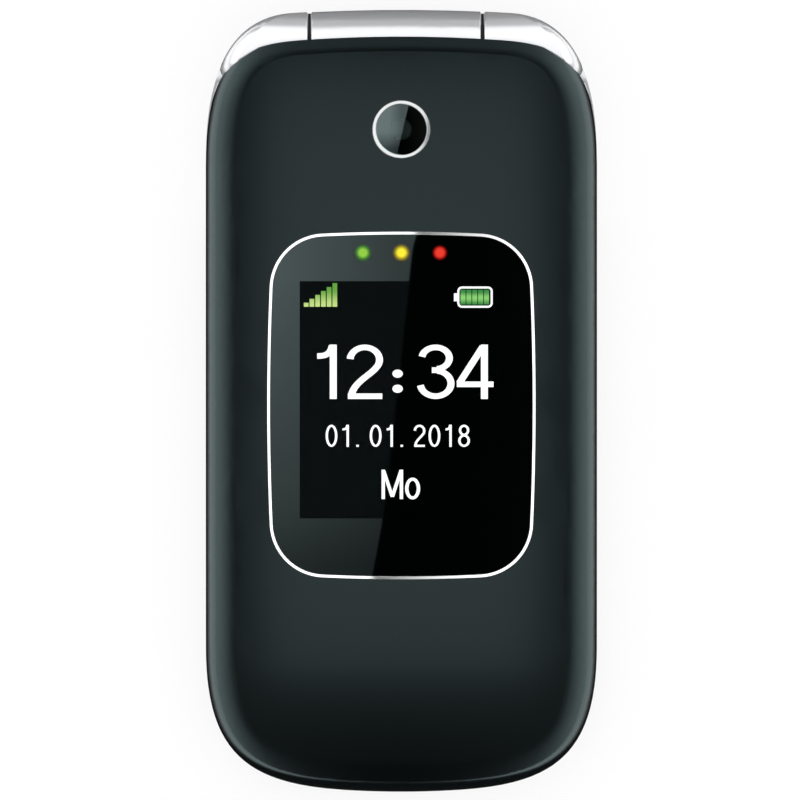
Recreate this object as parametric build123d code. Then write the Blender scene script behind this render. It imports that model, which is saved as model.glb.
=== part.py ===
from build123d import *
from dataclasses import dataclass
import math
import os

# A folding phone lying closed on its back: X across, Y towards the hinge, Z up through the lid.
# The origin is the middle of the flat back. All sizes are millimetres.

# Overall form
half_width = 27.0
half_length = 54.0
base_top = 11.3  # keypad face of the base half
lid_face = 12.0  # inner face of the lid
lid_seam = 13.2  # where the cover meets the silver inner housing
lid_top = 20.0  # highest point of the crowned lid
base_draft = 1.0  # how much the base narrows, each side, down to its back
back_radius = 4.5
lid_radius = 4.5

# Lid crown: two arcs along the phone, one shallow curve across it
crown_apex = 10.0
crown_turn = -15.0  # where the flat arc passes into the tighter one
crown_radius_flat = 1000.0
crown_radius_low = 420.0
crown_radius_across = 300.0

# Hinge
barrel_radius = 4.9
hinge_height = 12.6
knuckle_half = 11.7  # half length of the lid's centre knuckle
knuckle_shift = -0.75  # the knuckle sits this far off the middle of the phone
knuckle_gap = 0.5
trough_gap = 0.3
trough_wall = 1.0
ear_round = 1.5
ear_flat = 0.95  # the rounding stays this far short of half the barrel radius
lid_overlap = 2.3  # how far past the lip the lid's rounded form is drawn
lip_reach = 3.8  # silver left open behind the lid's lip
lip_half = 14.0
lip_drop = 0.5
lip_side = 0.3  # the lip's outline runs this far outside the straight sides
heel_start = 20.0  # the back turns up this far before the hinge end
heel_margin = 0.5
sill_margin = 1.3  # lower lip of the base stops this far before the hinge axis
neck_length = 1.6
neck_height = 4.2
cartridge_radius = 2.9
cartridge_length = 14.5
cartridge_fit = 0.05
shaft_radius = 1.55
shaft_length = 4.4
shaft_fit = 0.05
head_size = 4.2  # across the flats of the square hinge head
head_length = 4.6
head_corner = 0.5
collar_inset = 0.5  # the washers in the hinge gaps stay this far below the barrel
collar_fit = 0.05
hinge_edge = 0.2
bush_bore = 2.0
bush_wall = 0.85
bush_in_knuckle = 5.5
bush_in_ear = 5.0
flex_gap = 0.3
flex_wall = 0.6
flex_width = 2.8
flex_thickness = 0.3
flex_inset = 0.2  # of the flat tail, from the end of the hollow pin
flex_stub = 0.5  # how far the roll stops short of the pin's other end
flex_root = 1.5  # how far the tail reaches onto the lid board

# Walls and fits
lid_wall = 1.3
seat_depth = 2.2  # skin and seat together round the outer window
seat_margin = 1.5
part_fit = 0.1  # between pieces that are clipped or glued together
glue_gap = 0.05
tongue_wall = 1.0
tongue_height = 1.8
inner_plate = 1.4
inner_edge = 0.4
panel_rim = 1.0
panel_ledge = 1.2
panel_thickness = 1.2
panel_end = 10.6  # the keypad panel's outline stops this far before the hinge end
cover_wall = 1.2
cover_seam = 4.0
cover_margin = 30.0  # from the hinge end to the cover's upper edge
cover_fit = 0.15
rib_depth = 0.6
rib_height = 0.7
rib_length = 7.0
rib_z = 2.8
rib_places = (12.0, 32.0, 52.0)  # from the cover's upper edge
rib_lean = 1.3  # how far the side wall leans in at the ribs
rib_root = 0.9  # how deep the ribs stand in the side wall
grip_slot = (15.0, 0.8)
grip_count = 4
grip_pitch = 1.9
grip_margin = 3.5  # from the cover's upper edge to the first groove
grip_depth = 0.35

# Outer window, display, lights and camera
window_width = 37.0
window_length = 47.9
window_middle = -0.65
window_bow = 0.7
window_corner = 7.6
bezel_width = 0.4
bezel_round = 0.18
window_sink = 0.12
window_thickness = 1.2
outer_display_size = (31.4, 38.4)
outer_display_middle = -0.6
outer_display_z = (16.3, 17.5)
light_radius = 0.9
light_row = 20.4
light_pitch = 5.3
light_top = 18.4
light_edge = 0.3
camera_margin = 16.6  # from the hinge end
camera_radius = 3.95
camera_rim = 0.4
camera_top = 19.74
camera_flange = 0.75
camera_flange_z = (17.75, 18.05)
camera_window_z = (18.75, 19.35)
camera_dome = 0.25
camera_body = 8.0
camera_body_z = (16.2, 17.6)
camera_lens_radius = 2.4
camera_lens_top = 18.6
camera_corner = 0.6
camera_dish = (1.2, 2.1, 0.6)  # lower radius, upper radius and drawn height of the lens dish

# Inside the lid
lid_board_z = (15.4, 16.2)
lid_board_half = 21.0
lid_board_corner = 2.0
lid_board_margins = (19.0, 12.4)  # from the free end and from the hinge end
inner_window_size = (46.0, 66.0)
inner_window_middle = -6.0
inner_window_thickness = 0.85
inner_window_corner = 3.0
inner_display_size = (46.6, 62.0)
inner_display_z = (13.4, 15.3)
inner_view_size = (42.0, 58.0)
view_corner = 1.0
display_corner = 0.5
earpiece_size = (12.0, 6.0)
earpiece_height = 2.6
earpiece_corner = 2.5
earpiece_margin = 10.7  # from the free end
earpiece_slot = (9.0, 1.1)
lid_screw_low = (12.5, 6.1)  # from the side and from the free end
lid_screw_high = (7.5, 18.0)  # from the side and from the hinge end
screw_radius = 0.8
screw_fit = 0.05
screw_head_radius = 1.5
screw_head_height = 0.7
lid_screw_bite = 1.8
lid_boss_radius = 2.2
pad_radius = 3.0
pad_top = 14.0
cap_radius = 2.0
cap_depth = 0.6
cap_edge = 0.25
bumper_proud = 0.65
magnet_radius = 2.0
magnet_height = 1.6
magnet_margin = (17.4, 11.4)  # from the side and from the free end

# Keypad
keypad_margin = 8.6  # from the free end to the last row
key_margin = 3.4  # from the side of the phone to the outer keys
key_gap = 1.3
digit_length = 11.2
cluster_gap = 2.0
nav_width = 19.0
ok_length = 10.4
arrow_length = 6.6
key_corner = 2.2
key_edge = 0.35
key_fit = 0.15
key_flange = 0.4
key_trim = 0.12  # the trimming outline runs this far outside the straight sides of the keys
key_proud = 0.35
key_travel = 0.3
nub_radius = 1.0
pip_radius = 0.5
pip_height = 0.2
pip_margin = 1.5  # from the lower edge of the middle key
flange_z = (9.5, 10.0)

# Inside the base
bay_floor_z = (6.8, 7.6)
board_z = (7.7, 8.7)
board_fit = 0.3
dome_sheet = 0.25
dome_air = 0.02
battery_size = (34.0, 50.0)
battery_z = (1.4, 6.6)
battery_middle = -7.5
battery_edge = 1.0
bay_fit = 0.3
contact_block = (10.0, 3.0)
contact_pitch = 3.0
contact_radius = 0.5
sim_size = (16.0, 26.0)
sim_middle = (4.0, -14.0)
sim_z = (6.75, 7.65)
sim_corner = 3.0
speaker_size = (17.4, 9.4)
speaker_height = 3.6
speaker_corner = 1.5
speaker_rim = 1.2
speaker_dish = 0.4  # depth of the field inside the rim
speaker_margin = 23.6  # from the hinge end
speaker_seat = 1.5
speaker_slots = 5
speaker_slot = (1.0, 5.0)
speaker_pitch = 2.4
motor_radius = 2.2
motor_length = 9.0
motor_margin = 10.0  # from the side
motor_axis_z = 4.6
motor_shaft_radius = 0.5
weight_length = 3.0
weight_gap = 0.5
weight_drop = 0.4  # the half-round weight reaches this far past the shaft's middle
usb_size = (7.6, 5.6)
usb_z = (5.15, 7.65)
usb_wall = 0.3
usb_fit = 0.2
usb_inset = 0.8
usb_corner = 0.6
tongue_inset = (0.6, 0.9)  # of the contact tongue, from the mouth and from the back
tongue_thickness = 0.6
microphone_size = (3.8, 3.0)
microphone_height = 1.1
microphone_corner = 0.4
microphone_margin = (19.5, 4.8)  # from the side and from the free end
sound_hole = 0.5
shield_size = (32.0, 7.0)
shield_height = 1.2
shield_corner = 0.6
shield_margin = 17.6  # from the hinge end
base_boss_radius = 1.9
base_screw_low = (13.0, 5.2)  # from the side and from the free end
base_screw_high = (7.0, 17.6)  # from the side and from the hinge end
base_head_z = (3.4, 4.1)
plug_z = (0.4, 1.6)
rocker_length = 16.0
rocker_height = 3.0
rocker_middle = 14.0
rocker_z = 7.4
rocker_face = 0.04  # outer face of the rocker, inside the widest line of the phone
rocker_depth = 1.3
rocker_relief = 0.35
rocker_seat = 0.05
rocker_edge = 0.25

hinge_y = half_length - barrel_radius
cover_end = half_length - cover_margin
camera_place = half_length - camera_margin
lid_board_y = (-half_length + lid_board_margins[0], half_length - lid_board_margins[1])
earpiece_place = -half_length + earpiece_margin
magnet_place = (half_width - magnet_margin[0], -half_length + magnet_margin[1])
microphone_place = (half_width - microphone_margin[0], -half_length + microphone_margin[1])
lid_screw_places = (
    (half_width - lid_screw_low[0], -half_length + lid_screw_low[1]),
    (half_width - lid_screw_high[0], half_length - lid_screw_high[1]),
)
base_screw_places = (
    (half_width - base_screw_low[0], -half_length + base_screw_low[1]),
    (half_width - base_screw_high[0], half_length - base_screw_high[1]),
)
keypad_low = -half_length + keypad_margin
speaker_middle = (0.0, half_length - speaker_margin)
motor_middle = (half_width - motor_margin, half_length - speaker_margin)
shield_middle = half_length - shield_margin
trough_radius = barrel_radius + trough_gap
knuckle_x = (knuckle_shift - knuckle_half, knuckle_shift + knuckle_half)
ear_half = knuckle_half + knuckle_gap
ear_x = (knuckle_shift - ear_half, knuckle_shift + ear_half)
bush_radius = bush_bore + bush_wall
collar_radius = barrel_radius - collar_inset
left_collar_x = (ear_x[0] + collar_fit, knuckle_x[0] - collar_fit)
right_collar_x = (knuckle_x[1] + collar_fit, ear_x[1] - collar_fit)
panel_under = base_top - panel_thickness
plate_top = lid_face + inner_plate
tongue_top = plate_top + tongue_height
dome_top = board_z[1] + dome_sheet
key_top = base_top + key_proud
nub_bottom = dome_top + key_travel + dome_air
above = lid_top + 10.0
below = -10.0
far = half_length + 10.0


@dataclass(frozen=True)
class EndShape:
    """One end of a plan outline: a shallow crown, then a corner that sweeps into the side."""

    tip: float
    crown_half: float
    crown_drop: float
    corner_length: float
    full_across: float
    full_along: float


low_end = EndShape(-half_length, 8.0, 0.25, 20.0, 0.684, 0.76)
base_high_end = EndShape(half_length, 15.0, 0.45, 20.0, 0.667, 0.614)
lid_high_end = EndShape(half_length - lip_reach + lid_overlap, lip_half, lip_drop, 20.0, 0.7, 0.66)
lip_end = EndShape(half_length - lip_reach - lip_side, lip_half, lip_drop, 20.7, 0.76, 0.78)
panel_high_end = EndShape(half_length - panel_end, 14.0, 0.3, 12.0, 0.7, 0.7)


def corner_sweep(end, side, inset):
    """Curve from the end of the crown to the start of the straight side."""
    sense = math.copysign(1.0, end.tip)
    crown_y = end.tip - sense * (inset + end.crown_drop)
    side_x = half_width - inset
    side_y = end.tip - sense * end.corner_length
    across = (side_x - end.crown_half) * end.full_across
    along = (crown_y - side_y) * end.full_along
    slope = 2 * end.crown_drop / end.crown_half
    return Bezier(
        (side * end.crown_half, crown_y),
        (side * (end.crown_half + across), crown_y - sense * slope * across),
        (side * side_x, side_y + along),
        (side * side_x, side_y),
    )


def plan_outline(high, inset=0.0):
    """Closed plan shape from the free end to the given high end, drawn smaller by inset."""
    edges = []
    for end in (low_end, high):
        sense = math.copysign(1.0, end.tip)
        tip = end.tip - sense * inset
        crown_y = tip - sense * end.crown_drop
        edges.append(ThreePointArc((-end.crown_half, crown_y), (0, tip), (end.crown_half, crown_y)))
        for side in (-1, 1):
            edges.append(corner_sweep(end, side, inset))
    low_y = low_end.tip + low_end.corner_length
    high_y = high.tip - high.corner_length
    for side in (-1, 1):
        x = side * (half_width - inset)
        edges.append(Line((x, low_y), (x, high_y)))
    return make_face(edges)


def prism(face, z):
    """Plan shape drawn up between two heights."""
    return Pos(0, 0, z[0]) * extrude(face, z[1] - z[0])


def block(x, y, z):
    """Box from its lowest and highest x, y and z."""
    size = Box(x[1] - x[0], y[1] - y[0], z[1] - z[0])
    return Pos((x[0] + x[1]) / 2, (y[0] + y[1]) / 2, (z[0] + z[1]) / 2) * size


def pillar(radius, x, y, z):
    """Upright cylinder between two heights."""
    return Pos(x, y, (z[0] + z[1]) / 2) * Cylinder(radius, z[1] - z[0])


def roll(radius, x, y=hinge_y, z=hinge_height):
    """Cylinder along X between two values of x, on the hinge axis unless placed elsewhere."""
    turned = Rotation(0, 90, 0) * Cylinder(radius, x[1] - x[0])
    return Pos((x[0] + x[1]) / 2, y, z) * turned


def plate(size, corner, z, middle=(0.0, 0.0)):
    """Flat plate with rounded corners."""
    face = Pos(middle[0], middle[1]) * RectangleRounded(size[0], size[1], corner)
    return prism(face, z)


def grown(size, margin):
    """Width and length of a rectangle made larger all round."""
    return (size[0] + 2 * margin, size[1] + 2 * margin)


def around(size, middle, margin=0.0):
    """Lowest and highest x and y of a rectangle about its middle."""
    half_x = size[0] / 2 + margin
    half_y = size[1] / 2 + margin
    return (middle[0] - half_x, middle[0] + half_x), (middle[1] - half_y, middle[1] + half_y)


def mirrored(places):
    """Each place together with its mirror image on the other side."""
    return [(side * x, y) for x, y in places for side in (-1, 1)]


# ---------------------------------------------------------------- base half


def heel_profile(inset):
    """Side view of the base: flat back, then an arc that rises to the hinge."""
    start = half_length - heel_start
    run = hinge_y - heel_margin - start
    rise = hinge_height - barrel_radius
    radius = (run**2 + rise**2) / (2 * rise)
    turn = math.atan2(run, radius - rise)
    inner = radius - inset
    points = [(start + inner * math.sin(a), radius - inner * math.cos(a)) for a in (0, turn / 2, turn)]
    end_y = points[2][0]
    front_y = -half_length - 1
    return make_face(
        [
            ThreePointArc(*points),
            Line(points[2], (end_y, base_top)),
            Line((end_y, base_top), (front_y, base_top)),
            Line((front_y, base_top), (front_y, inset)),
            Line((front_y, inset), points[0]),
        ]
    )


def drafted_walls(inset=0.0):
    """Side walls of the base, narrower at the back than at the keypad face."""
    low = Pos(0, 0, inset) * plan_outline(base_high_end, inset + base_draft)
    high = Pos(0, 0, base_top) * plan_outline(base_high_end, inset)
    return loft([low, high], ruled=True)


def base_form(inset=0.0):
    """Solid form of the base below its top face, or the same form drawn smaller."""
    side_view = extrude(Plane.YZ * heel_profile(inset), half_width + 5, both=True)
    body = drafted_walls(inset) & side_view
    flat = body.faces().sort_by(Axis.Z)[0]
    rim = [edge for edge in flat.edges() if abs(edge.center().X) > 1 or edge.center().Y < 0]
    return fillet(rim, back_radius - inset)


def hinge_ears():
    """Silver barrels at both ends of the hinge, trimmed by the walls of the base."""
    walls = drafted_walls() + prism(plan_outline(base_high_end), (base_top, above))
    barrel = roll(barrel_radius, (-half_width - 1, half_width + 1)) & walls
    ears = barrel - block(ear_x, (0, half_length + 1), (below, above))
    outer = [edge for edge in ears.edges() if abs(edge.center().X - knuckle_shift) > ear_half + part_fit
             and abs(edge.center().Z - base_top) > part_fit]
    ears = fillet(outer, min(ear_round, barrel_radius / 2 - ear_flat))
    inner = [edge for edge in ears.edges().filter_by(GeomType.CIRCLE)
             if abs(abs(edge.center().X - knuckle_shift) - ear_half) < part_fit]
    return fillet(inner, hinge_edge)


def panel_face(inset):
    """Plan shape of the keypad panel and of what lies under it."""
    return plan_outline(panel_high_end, inset)


def battery_cover_zone(margin=0.0):
    """The part of the back that the battery cover takes up."""
    x = (-half_width - 1, half_width + 1)
    return block(x, (-half_length - 1, cover_end + margin), (below, cover_seam + margin))


def cover_core(inset):
    """What the battery cover closes round."""
    return base_form(inset) & battery_cover_zone(1.0)


def speaker_cut():
    """Pocket and sound slots of the loudspeaker."""
    x, y = around(speaker_size, speaker_middle, part_fit)
    cut = block(x, y, (speaker_seat, board_z[0]))
    for index in range(speaker_slots):
        place = speaker_middle[0] + (index - (speaker_slots - 1) / 2) * speaker_pitch
        slot = SlotOverall(speaker_slot[1], speaker_slot[0], rotation=90)
        cut += prism(Pos(place, speaker_middle[1]) * slot, (below, speaker_seat + 1))
    return cut


def base_pockets():
    """Everything that is cut out of the base for what it carries."""
    x, y = around(battery_size, (0, battery_middle), bay_fit)
    cuts = block(x, y, (below, bay_floor_z[0]))
    contact_y = (y[1] - 1, y[1] + contact_block[1] + part_fit)
    contact_x = contact_block[0] / 2 + part_fit
    cuts += block((-contact_x, contact_x), contact_y, (battery_z[0] + part_fit, board_z[0]))
    x, y = around(sim_size, sim_middle, part_fit)
    cuts += block(x, y, (bay_floor_z[0] - 1, board_z[0]))
    cuts += speaker_cut()
    x, y = around((motor_length, 2 * motor_radius), motor_middle, part_fit)
    cuts += block(x, y, (motor_axis_z - motor_radius, board_z[0]))
    usb_x = usb_size[0] / 2 + usb_fit
    usb_y = (-half_length - 1, -half_length + usb_inset + usb_size[1] + usb_fit)
    cuts += block((-usb_x, usb_x), usb_y, (usb_z[0] - usb_fit, board_z[0]))
    for x, y in mirrored(base_screw_places):
        cuts += pillar(screw_head_radius + part_fit, x, y, (below, base_head_z[1]))
        cuts += pillar(screw_radius + screw_fit, x, y, (0, board_z[0]))
    return cuts


def rocker_pocket():
    """Recess for the volume rocker in the left side wall."""
    floor = -half_width + rocker_face + rocker_depth + rocker_seat
    y = (rocker_middle - rocker_length / 2 - key_fit, rocker_middle + rocker_length / 2 + key_fit)
    z = (rocker_z - rocker_height / 2 - key_fit, rocker_z + rocker_height / 2 + key_fit)
    return block((-half_width - 1, floor), y, z)


def cover_grooves():
    """Grooves that the ribs of the battery cover slide in."""
    depth = half_width - cover_wall - rib_depth - rib_lean
    z = (rib_z - cover_fit, rib_z + rib_height + cover_fit)
    y = (-half_length - 1, cover_end + cover_fit)
    left = block((-half_width, -depth + cover_fit), y, z)
    right = block((depth - cover_fit, half_width), y, z)
    return left + right


def base_housing():
    """Silver shell of the base with its two hinge ears."""
    body = base_form() + hinge_ears()
    body -= battery_cover_zone(cover_fit)
    body += cover_core(cover_wall + cover_fit) - cover_grooves()
    body -= roll(trough_radius, ear_x)
    body -= block(ear_x, (hinge_y - sill_margin, half_length + 1), (below, above))
    body -= prism(panel_face(panel_rim), (panel_under, above))
    body -= prism(panel_face(panel_rim + panel_ledge), (bay_floor_z[1], above))
    body -= base_pockets()
    body -= rocker_pocket()
    head_room = head_size + 2 * shaft_fit
    head_x = ear_x[0] - head_length - shaft_fit
    half = head_room / 2
    body -= block((head_x, 0), (hinge_y - half, hinge_y + half), (hinge_height - half, hinge_height + half))
    body -= roll(bush_radius + shaft_fit, (0, ear_x[1] + bush_in_ear))
    return body


def battery_cover():
    """Slide-off tray that forms the back of the phone, with guide ribs and a thumb grip."""
    body = (base_form() & battery_cover_zone()) - cover_core(cover_wall)
    depth = half_width - cover_wall - rib_depth - rib_lean
    for place in rib_places:
        for side in (-1, 1):
            x = sorted((side * depth, side * (depth + rib_depth + rib_root)))
            middle = cover_end - place
            y = (middle - rib_length / 2, middle + rib_length / 2)
            body += block(x, y, (rib_z, rib_z + rib_height))
    groove = SlotOverall(*grip_slot)
    for index in range(grip_count):
        place = cover_end - grip_margin - index * grip_pitch
        body -= prism(Pos(0, place) * groove, (below, grip_depth))
    return body


def key_face(key, margin):
    """Plan shape of a key. The corners of the last row follow the phone's own outline."""
    x, y = key.middle
    width, length = grown(key.size, margin)
    face = Pos(x, y) * Rectangle(width, length)
    if y < keypad_low + digit_length:
        face = face & panel_face(key_margin - margin - key_trim)
    corners = [vertex for vertex in face.vertices() if abs(abs(vertex.Y - y) - length / 2) < 0.01]
    return fillet(corners, key_corner + margin)


def keypad_panel():
    """Inset plate that the keys stand through."""
    body = prism(panel_face(panel_rim + glue_gap), (panel_under, base_top))
    for key in KEYS:
        body -= prism(key_face(key, key_fit), (panel_under - 1, above))
    for x, y in mirrored(base_screw_places):
        body += pillar(base_boss_radius, x, y, (bay_floor_z[1] + part_fit, panel_under + part_fit))
        body -= pillar(screw_radius + screw_fit, x, y, (0, panel_under))
    body -= pillar(sound_hole, *microphone_place, (0, above))
    return body


@dataclass(frozen=True)
class Key:
    """A key's name, width and length, and the middle of its face."""

    name: str
    size: tuple
    middle: tuple


def digit_keys():
    """Twelve keys in four rows of three."""
    field = 2 * (half_width - key_margin)
    width = (field - 2 * key_gap) / 3
    names = (("1", "2", "3"), ("4", "5", "6"), ("7", "8", "9"), ("star", "0", "hash"))
    keys = []
    for row, row_names in enumerate(reversed(names)):
        y = keypad_low + digit_length / 2 + row * (digit_length + key_gap)
        for column, name in enumerate(row_names):
            x = (column - 1) * (width + key_gap)
            keys.append(Key("key_" + name, (width, digit_length), (x, y)))
    return keys


def cluster_keys():
    """Arrow and select keys between the two soft keys and the call and end keys."""
    low = keypad_low + 4 * digit_length + 3 * key_gap + cluster_gap
    total = 2 * arrow_length + ok_length + 2 * key_gap
    side_length = (total - key_gap) / 2
    side_width = half_width - key_margin - nav_width / 2 - key_gap
    side_x = nav_width / 2 + key_gap + side_width / 2
    ok_y = low + arrow_length + key_gap + ok_length / 2
    keys = [
        Key("key_down", (nav_width, arrow_length), (0.0, low + arrow_length / 2)),
        Key("key_select", (nav_width, ok_length), (0.0, ok_y)),
        Key("key_up", (nav_width, arrow_length), (0.0, low + total - arrow_length / 2)),
    ]
    rows = ((low + side_length / 2, "call", "end"), (low + total - side_length / 2, "left", "right"))
    for y, left, right in rows:
        keys.append(Key("key_" + left, (side_width, side_length), (-side_x, y)))
        keys.append(Key("key_" + right, (side_width, side_length), (side_x, y)))
    return keys


KEYS = digit_keys() + cluster_keys()


def key_solid(key):
    """One key: cap, retaining flange under the panel and the nub that presses its dome."""
    cap = prism(key_face(key, 0.0), (flange_z[0], key_top))
    cap = fillet(cap.faces().sort_by(Axis.Z)[-1].edges(), key_edge)
    flange = prism(key_face(key, key_flange), flange_z)
    nub = pillar(nub_radius, *key.middle, (nub_bottom, flange_z[1]))
    body = cap + flange + nub
    if key.name == "key_5":
        x, y = key.middle
        pip = pillar(pip_radius, x, y - key.size[1] / 2 + pip_margin, (flange_z[1], key_top + pip_height))
        body += fillet(pip.faces().sort_by(Axis.Z)[-1].edges(), pip_height - glue_gap)
    return body


def main_board():
    """Circuit board under the keypad."""
    body = prism(panel_face(panel_rim + panel_ledge + board_fit), board_z)
    for x, y in mirrored(base_screw_places):
        body -= pillar(base_boss_radius + board_fit, x, y, (0, above))
    return body


def dome_sheet_solid():
    """Film that holds the click domes under the keys."""
    high = KEYS[-1].middle[1] + KEYS[-1].size[1] / 2 + key_flange
    film = prism(panel_face(key_margin - key_flange), (board_z[1], dome_top))
    return film & block((-half_width, half_width), (keypad_low - key_flange, high), (0, above))


def shield_can():
    """Folded metal lid over the radio parts of the board."""
    z = (board_z[1], board_z[1] + shield_height)
    return plate(shield_size, shield_corner, z, (0, shield_middle))


def microphone():
    """Microphone can on the board, under its sound hole."""
    z = (board_z[1], board_z[1] + microphone_height)
    body = plate(microphone_size, microphone_corner, z, microphone_place)
    return body - pillar(sound_hole / 2, *microphone_place, ((z[0] + z[1]) / 2, z[1] + 1))


def battery():
    """Removable battery pack with rounded long edges."""
    x, y = around(battery_size, (0, battery_middle))
    body = block(x, y, battery_z)
    return fillet(body.edges().filter_by(Axis.Y), battery_edge)


def battery_contacts():
    """Spring contact block at the upper end of the battery."""
    y = battery_middle + battery_size[1] / 2 + bay_fit
    x = contact_block[0] / 2
    z = (battery_z[0] + 2 * part_fit, board_z[0])
    body = block((-x, x), (y, y + contact_block[1]), z)
    for index in (-1, 0, 1):
        middle_z = (battery_z[0] + battery_z[1]) / 2
        tip = Pos(index * contact_pitch, y, middle_z) * Sphere(contact_radius)
        body += tip & block((-x, x), (y - bay_fit + glue_gap, y + 1), (0, above))
    return body


def sim_holder():
    """Metal frame for the SIM card, with a clipped corner and a thumb cut-out."""
    x, y = around(sim_size, sim_middle)
    body = block(x, y, sim_z)
    corner = [edge for edge in body.edges().filter_by(Axis.Z)
              if edge.center().X > sim_middle[0] and edge.center().Y > sim_middle[1]]
    body = chamfer(corner, sim_corner)
    return body - pillar(sim_size[0] / 4, sim_middle[0], y[0], (0, above))


def loudspeaker():
    """Rectangular loudspeaker on the back wall, over its slots."""
    z = (speaker_seat, speaker_seat + speaker_height)
    body = plate(speaker_size, speaker_corner, z, speaker_middle)
    field_size = grown(speaker_size, -speaker_rim)
    return body - plate(field_size, speaker_corner / 2, (z[1] - speaker_dish, z[1] + 1), speaker_middle)


def vibration_motor():
    """Small motor with an eccentric weight on its shaft."""
    start = motor_middle[0] - motor_length / 2
    end = motor_middle[0] + motor_length / 2
    can_end = end - weight_length
    at = {"y": motor_middle[1], "z": motor_axis_z}
    body = roll(motor_radius, (start, can_end - weight_gap), **at)
    body += roll(motor_shaft_radius, (start, end), **at)
    weight = roll(motor_radius - 2 * part_fit, (can_end, end), **at)
    upper = block((start, end), (0, half_length), (motor_axis_z - weight_drop, above))
    return body + (weight & upper)


def charging_socket():
    """Metal shell of the charging socket with its contact tongue."""
    y = (-half_length + usb_inset, -half_length + usb_inset + usb_size[1])
    x = usb_size[0] / 2
    body = block((-x, x), y, usb_z)
    body = fillet(body.edges().filter_by(Axis.Y), usb_corner)
    hollow_z = (usb_z[0] + usb_wall, usb_z[1] - usb_wall)
    body -= block((-x + usb_wall, x - usb_wall), (y[0] - 1, y[1] - 1), hollow_z)
    middle_z = (usb_z[0] + usb_z[1]) / 2
    tongue_x = x - 3 * usb_wall
    tongue_y = (y[0] + tongue_inset[0], y[1] - tongue_inset[1])
    tongue_z = (middle_z - tongue_thickness / 2, middle_z + tongue_thickness / 2)
    return body + block((-tongue_x, tongue_x), tongue_y, tongue_z)


def screw(x, y, head_z, tip_z):
    """Pan-head screw that stands on its head or hangs from it."""
    shank_z = (min(head_z[0], tip_z), max(head_z[1], tip_z))
    return pillar(screw_head_radius, x, y, head_z) + pillar(screw_radius, x, y, shank_z)


def base_screws():
    """Four screws from the back into the keypad panel."""
    tip = panel_under - board_fit
    return Compound([screw(x, y, base_head_z, tip) for x, y in mirrored(base_screw_places)])


def base_screw_plugs():
    """Rubber plugs over the two screws outside the battery cover."""
    x, y = base_screw_places[1]
    radius = screw_head_radius + part_fit - glue_gap
    return Compound([pillar(radius, side * x, y, plug_z) for side in (-1, 1)])


def volume_rocker():
    """Long side key that tips about its middle."""
    outer = -half_width + rocker_face
    inner = outer + rocker_depth
    y = (rocker_middle - rocker_length / 2, rocker_middle + rocker_length / 2)
    face = make_face(
        Polyline(
            (outer, y[0]), (outer, y[1]), (inner - rocker_relief, y[1]), (inner, rocker_middle),
            (inner - rocker_relief, y[0]), close=True,
        )
    )
    z = (rocker_z - rocker_height / 2, rocker_z + rocker_height / 2)
    body = prism(face, z)
    outside = body.faces().sort_by(Axis.X)[0]
    return fillet(outside.edges(), rocker_edge)


# ---------------------------------------------------------------- lid half


def crown(drop):
    """Solid under the crowned outer surface of the lid, lowered by drop."""
    reach = half_width + 5
    depth = lid_top - base_top + 4
    turn = math.asin((crown_apex - crown_turn) / crown_radius_flat)
    centre_z = lid_top - crown_radius_flat
    step = crown_radius_flat - crown_radius_low
    low_y = crown_apex - math.sin(turn) * step
    low_z = centre_z + math.cos(turn) * step
    top = lid_top - drop
    edge_z = top - reach**2 / (2 * crown_radius_across)
    floor = lid_top - depth
    section = make_face(
        [
            Bezier((-reach, edge_z), (0, 2 * top - edge_z), (reach, edge_z)),
            Line((reach, edge_z), (reach, floor)),
            Line((reach, floor), (-reach, floor)),
            Line((-reach, floor), (-reach, edge_z)),
        ]
    )
    section = Plane(origin=(0, crown_apex, 0), x_dir=(1, 0, 0), z_dir=(0, -1, 0)) * section
    flat_axis = Axis((0, crown_apex, centre_z), (1, 0, 0))
    low_axis = Axis((0, low_y, low_z), (1, 0, 0))
    turn_degrees = math.degrees(turn)
    high_degrees = math.degrees((half_length + 10) / crown_radius_flat)
    low_degrees = math.degrees((half_length + 10) / crown_radius_low)
    flat = revolve(section.rotate(flat_axis, -high_degrees), flat_axis, high_degrees + turn_degrees)
    low = revolve(section.rotate(flat_axis, turn_degrees), low_axis, low_degrees)
    return flat + low


def rim_edges(body):
    """Edges that go round the upward faces of a body."""
    tops = [face for face in body.faces() if face.normal_at(face.center()).Z > 0.9]
    edges = [edge for face in tops for edge in face.edges()]
    return [edge for edge in edges if sum(edge.is_same(other) for other in edges) == 1]


def lid_form(inset=0.0):
    """Crowned and rounded form of the lid, or the same form drawn smaller."""
    walls = prism(plan_outline(lid_high_end, inset), (base_top - 4, above))
    body = walls & crown(inset)
    return fillet(rim_edges(body), lid_radius - inset)


def both_ears(radius):
    """Cylinders about the hinge axis over both ears."""
    end = half_width + 1
    return roll(radius, (-end, ear_x[0])) + roll(radius, (ear_x[1], end))


def window_outline(margin=0.0):
    """Bowed rectangle with round corners, shared by the window, its bezel and its seat."""
    x = window_width / 2 + margin
    y = window_length / 2 + margin
    corner_x = x - window_bow
    corner_y = y - window_bow
    sides = [
        ThreePointArc((-corner_x, -corner_y), (0, -y), (corner_x, -corner_y)),
        ThreePointArc((corner_x, -corner_y), (x, 0), (corner_x, corner_y)),
        ThreePointArc((corner_x, corner_y), (0, y), (-corner_x, corner_y)),
        ThreePointArc((-corner_x, corner_y), (-x, 0), (-corner_x, -corner_y)),
    ]
    face = make_face(sides)
    return Pos(0, window_middle) * fillet(face.vertices(), window_corner + margin)


def window_prism(margin):
    """Column over the window outline."""
    return prism(window_outline(margin), (lid_face, above))


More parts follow.
